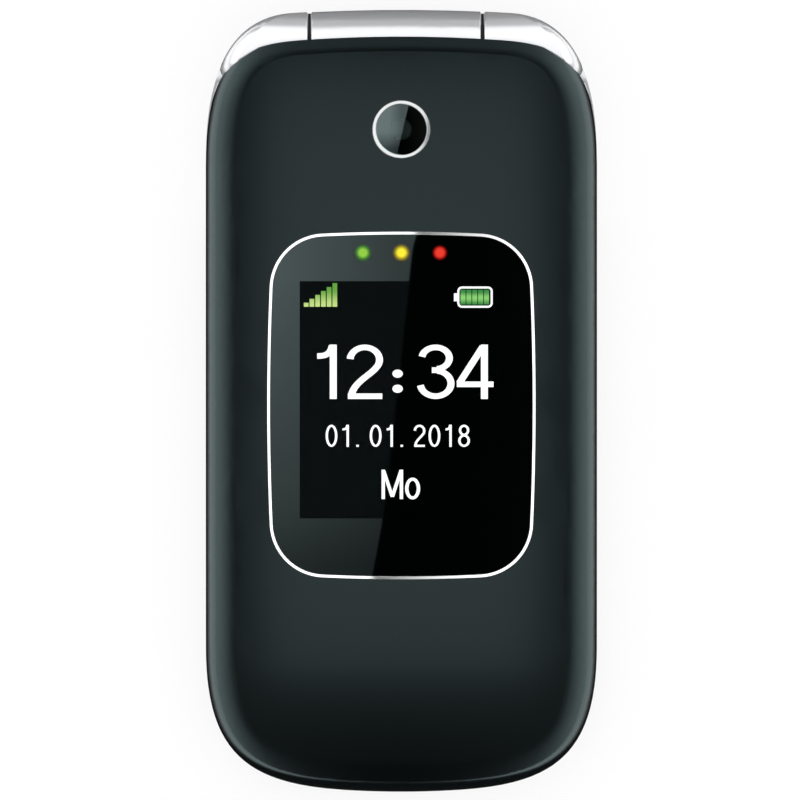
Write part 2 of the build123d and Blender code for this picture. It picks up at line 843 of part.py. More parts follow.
def lid_cover():
    """Dark crowned shell of the lid."""
    hollow = lid_form(lid_wall) - both_ears(trough_radius + trough_wall)
    hollow -= window_prism(seat_margin) - crown(seat_depth)
    for x, y in mirrored(lid_screw_places):
        hollow -= pillar(lid_boss_radius, x, y, (pad_top + part_fit, above))
    body = lid_form() - hollow
    body -= window_prism(glue_gap) - crown(window_sink + window_thickness + glue_gap)
    x, y = around(outer_display_size, (0, outer_display_middle), 2 * part_fit)
    body -= block(x, y, (0, above))
    for place in (-light_pitch, 0, light_pitch):
        body -= pillar(light_radius + part_fit, place, light_row, (0, above))
    body -= pillar(camera_radius + glue_gap, 0, camera_place, (0, above))
    for x, y in mirrored(lid_screw_places):
        body -= pillar(screw_radius + screw_fit, x, y, (0, pad_top + lid_screw_bite + part_fit))
    body -= block((-half_width - 1, half_width + 1), (-half_length - 1, half_length), (0, lid_seam))
    body -= roll(trough_radius, (-half_width - 1, half_width + 1))
    return body & prism(plan_outline(lip_end, -lip_side), (0, above))


def lid_knuckle():
    """Centre knuckle of the hinge and the neck that joins it to the inner housing."""
    left, right = knuckle_x
    crowning = base_high_end.crown_drop / base_high_end.crown_half**2
    radii = [barrel_radius - crowning * x**2 for x in knuckle_x]
    profile = make_face(
        [
            ThreePointArc((left, radii[0]), (0, barrel_radius), (right, radii[1])),
            Polyline((right, radii[1]), (right, 0), (left, 0), (left, radii[0])),
        ]
    )
    barrel = revolve(Pos(0, hinge_y, hinge_height) * profile, Axis((0, hinge_y, hinge_height), (1, 0, 0)))
    barrel = fillet(barrel.edges().filter_by(GeomType.CIRCLE), hinge_edge)
    front = hinge_y - trough_radius
    neck_x = (left + 2 * hinge_edge, right - 2 * hinge_edge)
    neck = block(neck_x, (front - neck_length, hinge_y - 2), (lid_face, lid_face + neck_height))
    return barrel + neck


def lid_inner_housing():
    """Silver frame that closes the lid, with the hinge knuckle."""
    rim = prism(plan_outline(lid_high_end), (lid_face, lid_seam - part_fit))
    rim = fillet(rim.faces().sort_by(Axis.Z)[0].edges(), inner_edge)
    inset = lid_wall + part_fit
    wide = (-half_width, half_width)
    raised = lid_form(inset) & block(wide, (-half_length, far), (lid_face + inner_edge, tongue_top))
    raised -= prism(plan_outline(lid_high_end, inset + tongue_wall), (plate_top, above))
    body = rim + raised
    for x, y in mirrored(lid_screw_places):
        body += pillar(pad_radius, x, y, (plate_top - part_fit, pad_top))
    clear = trough_radius + trough_wall + part_fit
    above_seam = block(wide, (0, half_length), (lid_seam - part_fit, above))
    body -= roll(clear, wide) & above_seam
    body -= roll(trough_radius, (-half_width - 1, half_width + 1))
    body += lid_knuckle()
    for x, y in mirrored(lid_screw_places):
        body -= pillar(cap_radius + glue_gap, x, y, (0, lid_face + cap_depth))
        body -= pillar(screw_head_radius + part_fit, x, y, (0, lid_face + cap_depth + screw_head_height))
        body -= pillar(screw_radius + part_fit, x, y, (0, above))
    middle = (0, inner_window_middle)
    recess_top = lid_face + inner_window_thickness + part_fit + glue_gap
    body -= plate(grown(inner_window_size, part_fit), inner_window_corner, (0, recess_top), middle)
    body -= plate(inner_view_size, view_corner, (0, above), middle)
    slot = SlotOverall(*earpiece_slot)
    body -= prism(Pos(0, earpiece_place) * slot, (0, plate_top + 0.5))
    body -= roll(cartridge_radius + cartridge_fit, (knuckle_x[0] - 1, knuckle_x[1] + 1))
    return body - flex_tail(part_fit)


def outer_window():
    """Crowned glass over the outer display and the lights."""
    inner = -bezel_width - glue_gap
    return (window_prism(inner) & crown(window_sink)) - crown(window_sink + window_thickness)


def window_bezel():
    """Bright ring round the outer window."""
    ring = window_prism(0) - window_prism(-bezel_width)
    ring = (ring & crown(0)) - crown(window_sink + window_thickness)
    return fillet(rim_edges(ring), bezel_round)


def outer_display():
    """Display module under the outer window."""
    return plate(outer_display_size, display_corner, outer_display_z, (0, outer_display_middle))


def indicator_light(place):
    """Light pipe that stands on the lid board."""
    body = pillar(light_radius, place, light_row, (lid_board_z[1], light_top))
    return fillet(body.faces().sort_by(Axis.Z)[-1].edges(), light_edge)


def camera_ring():
    """Bright ring that carries the camera window, with a flange under the lid's skin."""
    inner = camera_radius - camera_rim
    seat = inner - camera_rim
    bead = camera_rim / 2
    sides = Polyline(
        (inner, camera_top - bead),
        (inner, camera_window_z[0]),
        (seat, camera_window_z[0]),
        (seat, camera_flange_z[0]),
        (camera_radius + camera_flange, camera_flange_z[0]),
        (camera_radius + camera_flange, camera_flange_z[1]),
        (camera_radius, camera_flange_z[1]),
        (camera_radius, camera_top - bead),
    )
    top = ThreePointArc(
        (camera_radius, camera_top - bead), (camera_radius - bead, camera_top), (inner, camera_top - bead)
    )
    ring = revolve(Plane.XZ * make_face([sides, top]), Axis.Z)
    return Pos(0, camera_place, 0) * ring


def camera_window():
    """Small domed glass inside the camera ring."""
    radius = camera_radius - camera_rim - glue_gap
    ball_radius = (radius**2 + camera_dome**2) / (2 * camera_dome)
    apex = camera_window_z[1] + camera_dome
    ball = Pos(0, camera_place, apex - ball_radius) * Rotation(90, 0, 0) * Sphere(ball_radius)
    return pillar(radius, 0, camera_place, (camera_window_z[0], above)) & ball


def camera_module():
    """Camera with its lens barrel, on the lid board."""
    body = plate((camera_body, camera_body), camera_corner, camera_body_z, (0, camera_place))
    body += pillar(camera_lens_radius, 0, camera_place, (camera_body_z[0], camera_lens_top))
    dish = Cone(*camera_dish)
    return body - Pos(0, camera_place, camera_lens_top - camera_dish[2] / 2) * dish


def lid_board():
    """Circuit board of the lid, notched round the screw bosses."""
    x = (-lid_board_half, lid_board_half)
    body = block(x, lid_board_y, lid_board_z)
    body = fillet(body.edges().filter_by(Axis.Z), lid_board_corner)
    for x, y in mirrored(lid_screw_places):
        body -= pillar(lid_boss_radius + board_fit, x, y, (0, above))
    return body


def inner_display():
    """Large display behind the inner window."""
    return plate(inner_display_size, display_corner, inner_display_z, (0, inner_window_middle))


def inner_window():
    """Clear window over the large display."""
    z = (lid_face + part_fit, lid_face + part_fit + inner_window_thickness)
    return plate(inner_window_size, inner_window_corner - part_fit, z, (0, inner_window_middle))


def earpiece():
    """Earpiece speaker behind its slot."""
    z = (plate_top, plate_top + earpiece_height)
    return plate(earpiece_size, earpiece_corner, z, (0, earpiece_place))


def magnet():
    """Magnet that tells the base when the lid is closed."""
    return pillar(magnet_radius, *magnet_place, (plate_top, plate_top + magnet_height))


def lid_screws():
    """Four screws from the inner face into the cover."""
    head = (lid_face + cap_depth, lid_face + cap_depth + screw_head_height)
    tip = pad_top + lid_screw_bite
    return Compound([screw(x, y, head, tip) for x, y in mirrored(lid_screw_places)])


def screw_covers(place, proud):
    """Round rubber pieces over the screw heads at one end of the lid."""
    solids = []
    for x, y in mirrored([place]):
        body = pillar(cap_radius, x, y, (lid_face - proud, lid_face + cap_depth))
        solids.append(fillet(body.faces().sort_by(Axis.Z)[0].edges(), cap_edge))
    return Compound(solids)


# ---------------------------------------------------------------- hinge pieces


def hinge_cartridge():
    """Spring cartridge in the knuckle, with a round bore for the hinge shaft."""
    start = knuckle_x[0] + part_fit
    body = roll(cartridge_radius, (start, start + cartridge_length))
    return body - roll(shaft_radius + shaft_fit, (start - 1, start + shaft_length + part_fit))


def hinge_head():
    """Square head that sits in the ear, its washer, and the shaft that turns in the cartridge."""
    half = head_size / 2
    x = (ear_x[0] - head_length, ear_x[0])
    body = block(x, (hinge_y - half, hinge_y + half), (hinge_height - half, hinge_height + half))
    body = fillet(body.edges().filter_by(Axis.X), head_corner)
    body += roll(collar_radius, left_collar_x)
    return body + roll(shaft_radius, (x[1] - 1, knuckle_x[0] + shaft_length))


def hinge_bush():
    """Hollow pin from the right ear into the knuckle, with its washer."""
    x = (knuckle_x[1] - bush_in_knuckle, ear_x[1] + bush_in_ear)
    return roll(bush_radius, x) + roll(collar_radius, right_collar_x) - roll(bush_bore, x)


def flex_tail(margin=0.0):
    """Flat end of the flex cable between the roll and the lid board."""
    end = knuckle_x[1] - bush_in_knuckle - flex_inset
    x = (end - flex_width - margin, end + margin)
    z_middle = hinge_height + (bush_bore - flex_gap) - flex_thickness / 2
    z = (z_middle - flex_thickness / 2 - margin, z_middle + flex_thickness / 2 + margin)
    return block(x, (lid_board_y[1] - flex_root, hinge_y), z)


def flex_cable():
    """Flex cable, rolled up inside the hollow pin."""
    radius = bush_bore - flex_gap
    end = knuckle_x[1] - bush_in_knuckle - flex_inset
    x = (end - flex_width, ear_x[1] + bush_in_ear - flex_stub)
    coil = roll(radius, x) - roll(radius - flex_wall, (x[0] - 1, x[1] + 1))
    return coil + flex_tail()


def all_parts():
    """Every piece by its node name."""
    parts = {
        "base_housing": base_housing(),
        "battery_cover": battery_cover(),
        "keypad_panel": keypad_panel(),
        "main_board": main_board(),
        "dome_sheet": dome_sheet_solid(),
        "shield_can": shield_can(),
        "microphone": microphone(),
        "battery": battery(),
        "battery_contacts": battery_contacts(),
        "sim_holder": sim_holder(),
        "loudspeaker": loudspeaker(),
        "vibration_motor": vibration_motor(),
        "charging_socket": charging_socket(),
        "base_screws": base_screws(),
        "base_screw_plugs": base_screw_plugs(),
        "volume_rocker": volume_rocker(),
        "lid_cover": lid_cover(),
        "lid_inner_housing": lid_inner_housing(),
        "outer_window": outer_window(),
        "window_bezel": window_bezel(),
        "outer_display": outer_display(),
        "camera_ring": camera_ring(),
        "camera_window": camera_window(),
        "camera_module": camera_module(),
        "lid_board": lid_board(),
        "inner_display": inner_display(),
        "inner_window": inner_window(),
        "earpiece": earpiece(),
        "magnet": magnet(),
        "lid_screws": lid_screws(),
        "lid_bumpers": screw_covers(lid_screw_places[0], bumper_proud),
        "lid_screw_caps": screw_covers(lid_screw_places[1], 0.0),
        "hinge_cartridge": hinge_cartridge(),
        "hinge_head": hinge_head(),
        "hinge_bush": hinge_bush(),
        "flex_cable": flex_cable(),
    }
    for name, place in (("green", -light_pitch), ("yellow", 0), ("red", light_pitch)):
        parts["light_" + name] = indicator_light(place)
    for key in KEYS:
        parts[key.name] = key_solid(key)
    return parts


if __name__ == "__main__":
    os.makedirs("parts", exist_ok=True)
    for name, shape in all_parts().items():
        export_step(shape, f"parts/{name}.step")
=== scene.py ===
"""Dresses a folding phone: its finishes, lit displays, key legends and small fittings, in a soft studio."""

import logging
import math
from collections.abc import Mapping, Sequence
from dataclasses import dataclass, field
from enum import Enum

import bmesh
import bpy
from mathutils import Matrix, Vector


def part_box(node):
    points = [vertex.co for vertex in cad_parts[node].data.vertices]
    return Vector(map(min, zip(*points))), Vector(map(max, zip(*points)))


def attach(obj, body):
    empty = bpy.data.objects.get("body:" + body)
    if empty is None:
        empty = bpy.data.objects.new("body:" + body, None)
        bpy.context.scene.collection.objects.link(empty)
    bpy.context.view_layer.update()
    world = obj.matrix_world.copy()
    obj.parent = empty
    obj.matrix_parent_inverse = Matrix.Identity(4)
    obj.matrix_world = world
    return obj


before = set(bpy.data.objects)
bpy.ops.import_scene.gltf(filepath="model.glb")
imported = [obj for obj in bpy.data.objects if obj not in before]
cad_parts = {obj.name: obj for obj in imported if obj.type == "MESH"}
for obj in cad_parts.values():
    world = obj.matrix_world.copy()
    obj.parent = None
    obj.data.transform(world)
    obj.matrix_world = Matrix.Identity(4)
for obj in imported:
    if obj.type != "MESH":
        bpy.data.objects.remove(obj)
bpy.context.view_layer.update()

LOG = logging.getLogger("flip_phone")

MM = 0.001
PRINT_LIFT = 0.012 * MM  # how far printed and lit marks stand off what carries them
STROKE_LIFT = 0.002 * MM  # each stroke of a mark lies this much above the one before it
DRIFT_SCALE = 38.0  # noise cells in a metre, for the drift of tone on a surface
SIGN_DRIFT_SCALE = 900.0  # the same for small lit signs
SMUDGE_SCALE = 55.0  # noise cells in a metre, for smudges
RUB_RADIUS = 0.25 * MM  # how wide an edge is polished by handling

Point = tuple[float, float]
Colour = tuple[float, float, float, float]
Column = tuple[str, float, float]
Pieces = tuple[tuple[str, str], ...]
Socket = bpy.types.NodeSocket

BLACK: Colour = (0.0, 0.0, 0.0, 1.0)
WHITE: Colour = (1.0, 1.0, 1.0, 1.0)


def tone(red: int, green: int, blue: int) -> Colour:
    """Turn a display colour into the linear colour that shaders work in.

    Args:
        red: Red from 0 to 255.
        green: Green from 0 to 255.
        blue: Blue from 0 to 255.

    Returns:
        The linear colour with full alpha.
    """

    def linear(value: int) -> float:
        """Undo the display curve of one channel."""
        share = value / 255
        return share / 12.92 if share <= 0.04045 else ((share + 0.055) / 1.055) ** 2.4

    return (linear(red), linear(green), linear(blue), 1.0)


# ---------------------------------------------------------------- node trees


class Graph:
    """Places and joins the nodes of one node tree."""

    def __init__(self, tree: bpy.types.NodeTree) -> None:
        """Take the tree to work in."""
        self.tree = tree

    def add(
        self,
        kind: str,
        sockets: Mapping[str | int, object] | None = None,
        **settings: object,
    ) -> bpy.types.Node:
        """Place a node, set its properties and feed its sockets.

        Args:
            kind: Blender's class name of the node, without ShaderNode.
            sockets: Plain values or output sockets, by the name or number of the input.
            **settings: Properties of the node.

        Returns:
            The new node.
        """
        node = self.tree.nodes.new("ShaderNode" + kind)
        for name, value in settings.items():
            setattr(node, name, value)
        self.feed(node, sockets or {})
        return node

    def feed(self, node: bpy.types.Node, sockets: Mapping[str | int, object]) -> None:
        """Feed the inputs of a node.

        Args:
            node: The node.
            sockets: Plain values or output sockets, by the name or number of the input.
        """
        for name, value in sockets.items():
            if isinstance(value, Socket):
                self.tree.links.new(value, node.inputs[name])
            else:
                node.inputs[name].default_value = value

    def number(self, operation: str, *terms: float | Socket) -> Socket:
        """Join numbers, or sockets with numbers, with one operation of the Math node."""
        return self.add("Math", dict(enumerate(terms)), operation=operation).outputs[0]

    def mix(self, share: float | Socket, first: object, second: object) -> Socket:
        """Mix two colours or sockets, of which the share says how much of the second is taken."""
        return self.add("Mix", {0: share, 6: first, 7: second}, data_type="RGBA").outputs[2]

    def spread(self, value: Socket, source: Point, target: Point, smooth: bool = True) -> Socket:
        """Carry a value from one range to another, held at the ends.

        Args:
            value: Socket to carry over.
            source: Range that it comes in.
            target: Range that it goes to.
            smooth: Whether the ends are eased.

        Returns:
            The socket with the result.
        """
        sockets = {0: value, 1: source[0], 2: source[1], 3: target[0], 4: target[1]}
        kind = "SMOOTHSTEP" if smooth else "LINEAR"
        return self.add("MapRange", sockets, interpolation_type=kind).outputs[0]

    def place(self) -> Socket:
        """Give the place of a surface point on its own object, as a vector in metres."""
        return self.add("TexCoord").outputs["Object"]

    def position(self) -> tuple[Socket, Socket, Socket]:
        """Give the same place as three numbers."""
        parts = self.add("SeparateXYZ", {0: self.place()})
        return parts.outputs[0], parts.outputs[1], parts.outputs[2]

    def upward(self) -> Socket:
        """Give how far the face looks up on its own object, from -1 to 1."""
        return self.add("SeparateXYZ", {0: self.add("TexCoord").outputs["Normal"]}).outputs[2]

    def front(self) -> Socket:
        """Give 1 on the front of a face and 0 on its back."""
        return self.number("SUBTRACT", 1.0, self.add("NewGeometry").outputs["Backfacing"])

    def distance(self, centre: Point) -> Socket:
        """Give how far a surface point lies from an upright axis.

        Args:
            centre: Where the axis stands, as x and y.

        Returns:
            The socket with the distance.
        """
        x, y, _ = self.position()
        off_x = self.number("SUBTRACT", x, centre[0])
        off_y = self.number("SUBTRACT", y, centre[1])
        square = self.number("MULTIPLY", off_x, off_x)
        return self.number("SQRT", self.number("MULTIPLY_ADD", off_y, off_y, square))

    def opening(self, half_x: float, low_y: float, high_y: float) -> Socket:
        """Give the mask of a rectangle, 1 inside and 0 outside.

        Args:
            half_x: Half of its width, equal on both sides of the middle.
            low_y: Its lower edge.
            high_y: Its upper edge.

        Returns:
            The socket with the mask.
        """
        x, y, _ = self.position()
        across = self.number("LESS_THAN", self.number("ABSOLUTE", x), half_x)
        low = self.number("GREATER_THAN", y, low_y)
        high = self.number("LESS_THAN", y, high_y)
        return self.number("MULTIPLY", across, self.number("MULTIPLY", low, high))

    def show(self, shader: bpy.types.Node, kind: str = "OutputMaterial") -> None:
        """Make a shader the one that the tree shows."""
        self.add(kind, {"Surface": shader.outputs[0]})


def place_object(name: str, data: bpy.types.ID) -> bpy.types.Object:
    """Put a new mesh, light or camera into the scene.

    Args:
        name: Name of the object.
        data: What it holds.

    Returns:
        The new object.
    """
    made = bpy.data.objects.new(name, data)
    bpy.context.scene.collection.objects.link(made)
    return made


def blank_material(name: str) -> tuple[bpy.types.Material, Graph]:
    """Make a material with an empty node tree.

    Args:
        name: Name of the material.

    Returns:
        The material and the graph of its tree.
    """
    material = bpy.data.materials.new(name)
    material.use_nodes = True
    material.node_tree.nodes.clear()
    return material, Graph(material.node_tree)


class Effect(Enum):
    """Surface effects that several finishes share."""

    GRAIN = "fine_grain"
    MARKS = "handling_marks"
    DRIFT = "tone_drift"
    RUB = "rubbed_edge"


class EffectShelf:
    """Builds each shared effect once, as a node group, and hands it out."""

    SOCKETS = {
        Effect.GRAIN: (("Scale",), "Height"),
        Effect.MARKS: (("Roughness", "Spread", "Scale"), "Roughness"),
        Effect.DRIFT: (("Colour", "Amount", "Scale"), "Colour"),
        Effect.RUB: (("Radius", "Amount"), "Mask"),
    }

    def __init__(self) -> None:
        """Start with an empty shelf."""
        self.trees: dict[Effect, bpy.types.NodeTree] = {}

    def place(self, graph: Graph, effect: Effect, **values: object) -> Socket:
        """Put an effect into a material.

        Args:
            graph: Node graph of the material.
            effect: Which effect.
            **values: Values or sockets for its inputs.

        Returns:
            What the effect puts out.
        """
        if effect not in self.trees:
            self.trees[effect] = self.make(effect)
        return graph.add("Group", values, node_tree=self.trees[effect]).outputs[0]

    def make(self, effect: Effect) -> bpy.types.NodeTree:
        """Build the node group of an effect.

        Args:
            effect: Which effect.

        Returns:
            The finished group.
        """
        tree = bpy.data.node_groups.new(effect.value, "ShaderNodeTree")
        inputs, output = self.SOCKETS[effect]
        for side, name in (*(("INPUT", name) for name in inputs), ("OUTPUT", output)):
            kind = "NodeSocketColor" if name == "Colour" else "NodeSocketFloat"
            tree.interface.new_socket(name, in_out=side, socket_type=kind)
        start = tree.nodes.new("NodeGroupInput")
        end = tree.nodes.new("NodeGroupOutput")
        build = {
            Effect.GRAIN: self.grain,
            Effect.MARKS: self.marks,
            Effect.DRIFT: self.drift,
            Effect.RUB: self.rub,
        }[effect]
        tree.links.new(build(Graph(tree), start), end.inputs[0])
        return tree

    def grain(self, graph: Graph, start: bpy.types.Node) -> Socket:
        """Build the fine texture of a moulded or sprayed surface.

        Args:
            graph: Graph of the group.
            start: Its input node.

        Returns:
            The output.
        """
        place = graph.place()
        soft = graph.add("TexNoise", {"Vector": place, "Scale": start.outputs["Scale"], "Detail": 3.0})
        fine = graph.number("MULTIPLY", start.outputs["Scale"], 2.7)
        cells = graph.add("TexVoronoi", {"Vector": place, "Scale": fine}, feature="SMOOTH_F1")
        return graph.number("ADD", soft.outputs[0], graph.number("MULTIPLY", cells.outputs[0], 0.6))

    def marks(self, graph: Graph, start: bpy.types.Node) -> Socket:
        """Build soft smudges and faint hairlines in the gloss.

        Args:
            graph: Graph of the group.
            start: Its input node.

        Returns:
            The output.
        """
        place = graph.place()
        cloud = graph.add("TexNoise", {"Vector": place, "Scale": start.outputs["Scale"], "Detail": 4.0})
        around = graph.number("SUBTRACT", cloud.outputs[0], 0.5)
        smudge = graph.number("MULTIPLY", around, start.outputs["Spread"])
        stretch = {"Vector": place, "Rotation": (0.0, 0.0, 0.5), "Scale": (9.0, 0.35, 1.0)}
        turned = graph.add("Mapping", stretch)
        lines = graph.add("TexNoise", {"Vector": turned.outputs[0], "Scale": 240.0, "Detail": 1.0})
        hair = graph.spread(lines.outputs[0], (0.68, 0.74), (0.0, 0.6))
        scratch = graph.number("MULTIPLY", hair, start.outputs["Spread"])
        total = graph.number("ADD", graph.number("ADD", smudge, scratch), start.outputs["Roughness"])
        return graph.number("MAXIMUM", total, 0.02)

    def drift(self, graph: Graph, start: bpy.types.Node) -> Socket:
        """Build the slow change of tone over a coloured surface.

        Args:
            graph: Graph of the group.
            start: Its input node.

        Returns:
            The output.
        """
        place = graph.place()
        cloud = graph.add("TexNoise", {"Vector": place, "Scale": start.outputs["Scale"], "Detail": 2.0})
        share = graph.number("MULTIPLY", graph.number("SUBTRACT", cloud.outputs[0], 0.5), 2.0)
        value = graph.number("ADD", graph.number("MULTIPLY", share, start.outputs["Amount"]), 1.0)
        return graph.add("HueSaturation", {"Value": value, "Color": start.outputs["Colour"]}).outputs[0]

    def rub(self, graph: Graph, start: bpy.types.Node) -> Socket:
        """Build the mask of edges where the finish is polished by handling.

        Args:
            graph: Graph of the group.
            start: Its input node.

        Returns:
            The output.
        """
        rounded = graph.add("Bevel", {"Radius": start.outputs["Radius"]}, samples=4)
        plain = graph.add("NewGeometry").outputs["Normal"]
        facing = graph.add("VectorMath", {0: rounded.outputs[0], 1: plain}, operation="DOT_PRODUCT")
        bend = graph.number("SUBTRACT", 1.0, facing.outputs["Value"])
        edge = graph.spread(bend, (0.01, 0.12), (0.0, 1.0))
        patch = graph.add("TexNoise", {"Vector": graph.place(), "Scale": 130.0, "Detail": 3.0})
        broken = graph.spread(patch.outputs[0], (0.35, 0.6), (0.2, 1.0))
        both = graph.number("MULTIPLY", edge, broken)
        return graph.number("MULTIPLY", both, start.outputs["Amount"])


EFFECTS = EffectShelf()


# ---------------------------------------------------------------- finishes


@dataclass(frozen=True)
class Finish:
    """A moulded, painted, plated or pressed surface."""

    name: str
    colour: Colour
    roughness: float
    metallic: float = 0.0
    specular: float = 0.5
    tint: Colour = WHITE
    coat: float = 0.0
    coat_roughness: float = 0.04
    grain_scale: float = 2600.0
    grain_depth: float = 2.0e-6
    drift: float = 0.05
    marks: float = 0.05
    rub: float = 0.0
    rubbed: Colour = (0.6, 0.6, 0.6, 1.0)
    glow: float = 0.0

    def start(self) -> tuple[bpy.types.Material, Graph, bpy.types.Node]:
        """Make the material with its shader and every uniform value.

        Returns:
            The material, its graph and the Principled BSDF.
        """
        material, graph = blank_material(self.name)
        shader = graph.add(
            "BsdfPrincipled",
            {
                "Base Color": self.colour,
                "Roughness": self.roughness,
                "Metallic": self.metallic,
                "Specular IOR Level": self.specular,
                "Specular Tint": self.tint,
                "Coat Weight": self.coat,
                "Coat Roughness": self.coat_roughness,
                "Emission Strength": self.glow,
            },
        )
        graph.show(shader)
        return material, graph, shader

    def surface(self, graph: Graph, shader: bpy.types.Node, colour: object) -> None:
        """Give the shader its drift of tone, marks and grain.

        Args:
            graph: Graph of the material.
            shader: Its Principled BSDF.
            colour: Colour or socket that the drift starts from.
        """
        shown = EFFECTS.place(graph, Effect.DRIFT, Colour=colour, Amount=self.drift, Scale=DRIFT_SCALE)
        values = {"Roughness": self.roughness, "Spread": self.marks, "Scale": SMUDGE_SCALE}
        marks = EFFECTS.place(graph, Effect.MARKS, **values)
        grain = EFFECTS.place(graph, Effect.GRAIN, Scale=self.grain_scale)
        bump = graph.add("Bump", {"Distance": self.grain_depth, "Height": grain})
        if self.rub > 0:
            edge = EFFECTS.place(graph, Effect.RUB, Radius=RUB_RADIUS, Amount=self.rub)
            shown = graph.mix(edge, shown, self.rubbed)
        graph.feed(shader, {"Base Color": shown, "Roughness": marks, "Normal": bump.outputs[0]})

    def build(self) -> bpy.types.Material:
        """Make the material.

        Returns:
            The finished material.
        """
        material, graph, shader = self.start()
        self.surface(graph, shader, self.colour)
        return material


@dataclass(frozen=True)
class Lit(Finish):
    """A surface that shines with its own even light, such as a display's characters."""

    glow: float = 1.0
    ground: Colour = (0.02, 0.02, 0.02, 1.0)

    def shown(self, graph: Graph) -> Colour | Socket:
        """Give the colour that shines, or the socket that it comes from."""
        return self.colour

    def build(self) -> bpy.types.Material:
        """Make the material.

        Returns:
            The finished material.
        """
        material, graph, shader = self.start()
        values = {"Colour": self.shown(graph), "Amount": self.drift, "Scale": SIGN_DRIFT_SCALE}
        shown = EFFECTS.place(graph, Effect.DRIFT, **values)
        graph.feed(shader, {"Emission Color": shown, "Base Color": self.ground})
        return material


@dataclass(frozen=True)
class LitFade(Lit):
    """A lit sign that turns from one colour at its middle height to another above and below."""

    middle: float = 0.0
    reach: float = 1.0 * MM
    away: Colour = BLACK

    def shown(self, graph: Graph) -> Colour | Socket:
        """Give the colour that shines.

        Args:
            graph: Graph of the material.

        Returns:
            The colour, or the socket that it comes from.
        """
        _, y, _ = graph.position()
        off = graph.number("ABSOLUTE", graph.number("SUBTRACT", y, self.middle))
        return graph.mix(graph.spread(off, (0.0, self.reach), (0.0, 1.0)), self.colour, self.away)


@dataclass(frozen=True)
class Halo(Lit):
    """Soft glow round a small light, brightest in its middle and black at its rim."""

    specular: float = 0.0
    drift: float = 0.0
    ground: Colour = BLACK
    centre: Point = (0.0, 0.0)
    edge: Colour = BLACK
    edge_start: float = 0.4 * MM
    edge_end: float = 0.9 * MM
    core: float = 0.65 * MM
    reach: float = 1.45 * MM

    def shown(self, graph: Graph) -> Colour | Socket:
        """Give the colour that shines.

        Args:
            graph: Graph of the material.

        Returns:
            The colour, or the socket that it comes from.
        """
        far = graph.distance(self.centre)
        fade = graph.spread(far, (self.core, self.reach), (0.0, 1.0))
        rim = graph.spread(far, (self.edge_start, self.edge_end), (0.0, 1.0))
        return graph.mix(fade, graph.mix(rim, self.colour, self.edge), BLACK)


@dataclass(frozen=True)
class Lacquer(Finish):
    """Silver lacquer, polished outside and matt on the faces that meet when closed, which also take a
    darker colour as painted shade.
    """

    # Painted shade: this darker colour is laid on the faces that meet when closed.
    matt: Colour = (0.40, 0.41, 0.43, 1.0)
    matt_roughness: float = 0.42
    face_low: float = 10.9 * MM
    face_high: float = 12.4 * MM
    face_end: float = 44.0 * MM
    face_fade: float = 1.0 * MM

    def build(self) -> bpy.types.Material:
        """Make the material.

        Returns:
            The finished material.
        """
        material, graph, shader = self.start()
        _, y, z = graph.position()
        level = graph.spread(graph.number("ABSOLUTE", graph.upward()), (0.9, 0.97), (0.0, 1.0))
        above = graph.number("GREATER_THAN", z, self.face_low)
        below = graph.number("LESS_THAN", z, self.face_high)
        inside = graph.spread(y, (self.face_end, self.face_end + self.face_fade), (1.0, 0.0))
        between = graph.number("MULTIPLY", above, below)
        face = graph.number("MULTIPLY", graph.number("MULTIPLY", level, inside), between)
        # The faces that meet when closed take the painted shade colour here, and a matt roughness below.
        self.surface(graph, shader, graph.mix(face, self.colour, self.matt))
        marks = shader.inputs["Roughness"].links[0].from_node
        rough = graph.spread(face, (0.0, 1.0), (self.roughness, self.matt_roughness), smooth=False)
        graph.feed(marks, {"Roughness": rough})
        return material


@dataclass(frozen=True)
class Crowned(Finish):
    """Polished surface whose flat top mirrors as the crown of the lid does."""

    radius_across: float = 300.0 * MM
    radius_flat: float = 1000.0 * MM
    radius_low: float = 420.0 * MM
    apex: float = 10.0 * MM
    turn: float = -15.0 * MM

    def build(self) -> bpy.types.Material:
        """Make the material.

        Returns:
            The finished material.
        """
        material, graph, shader = self.start()
        self.surface(graph, shader, self.colour)
        x, y, _ = graph.position()
        lean = graph.number("DIVIDE", x, self.radius_across)
        upper = graph.number("DIVIDE", graph.number("SUBTRACT", y, self.apex), self.radius_flat)
        at_turn = (self.turn - self.apex) / self.radius_flat
        below = graph.number("SUBTRACT", y, self.turn)
        lower = graph.number("MULTIPLY_ADD", below, 1.0 / self.radius_low, at_turn)
        crown = graph.add("CombineXYZ", {0: lean, 1: graph.number("MINIMUM", upper, lower), 2: 1.0})
        ways = {"vector_type": "NORMAL", "convert_from": "OBJECT", "convert_to": "WORLD"}
        turned = graph.add("VectorTransform", {0: crown.outputs[0]}, **ways)
        top = graph.spread(graph.upward(), (0.3, 0.55), (0.0, 1.0))
        true = graph.add("NewGeometry").outputs["Normal"]
        mixed = graph.mix(top, true, turned.outputs[0])
        normal = graph.add("VectorMath", {0: mixed}, operation="NORMALIZE")
        bump = shader.inputs["Normal"].links[0].from_node
        graph.feed(bump, {"Normal": normal.outputs[0]})
        return material


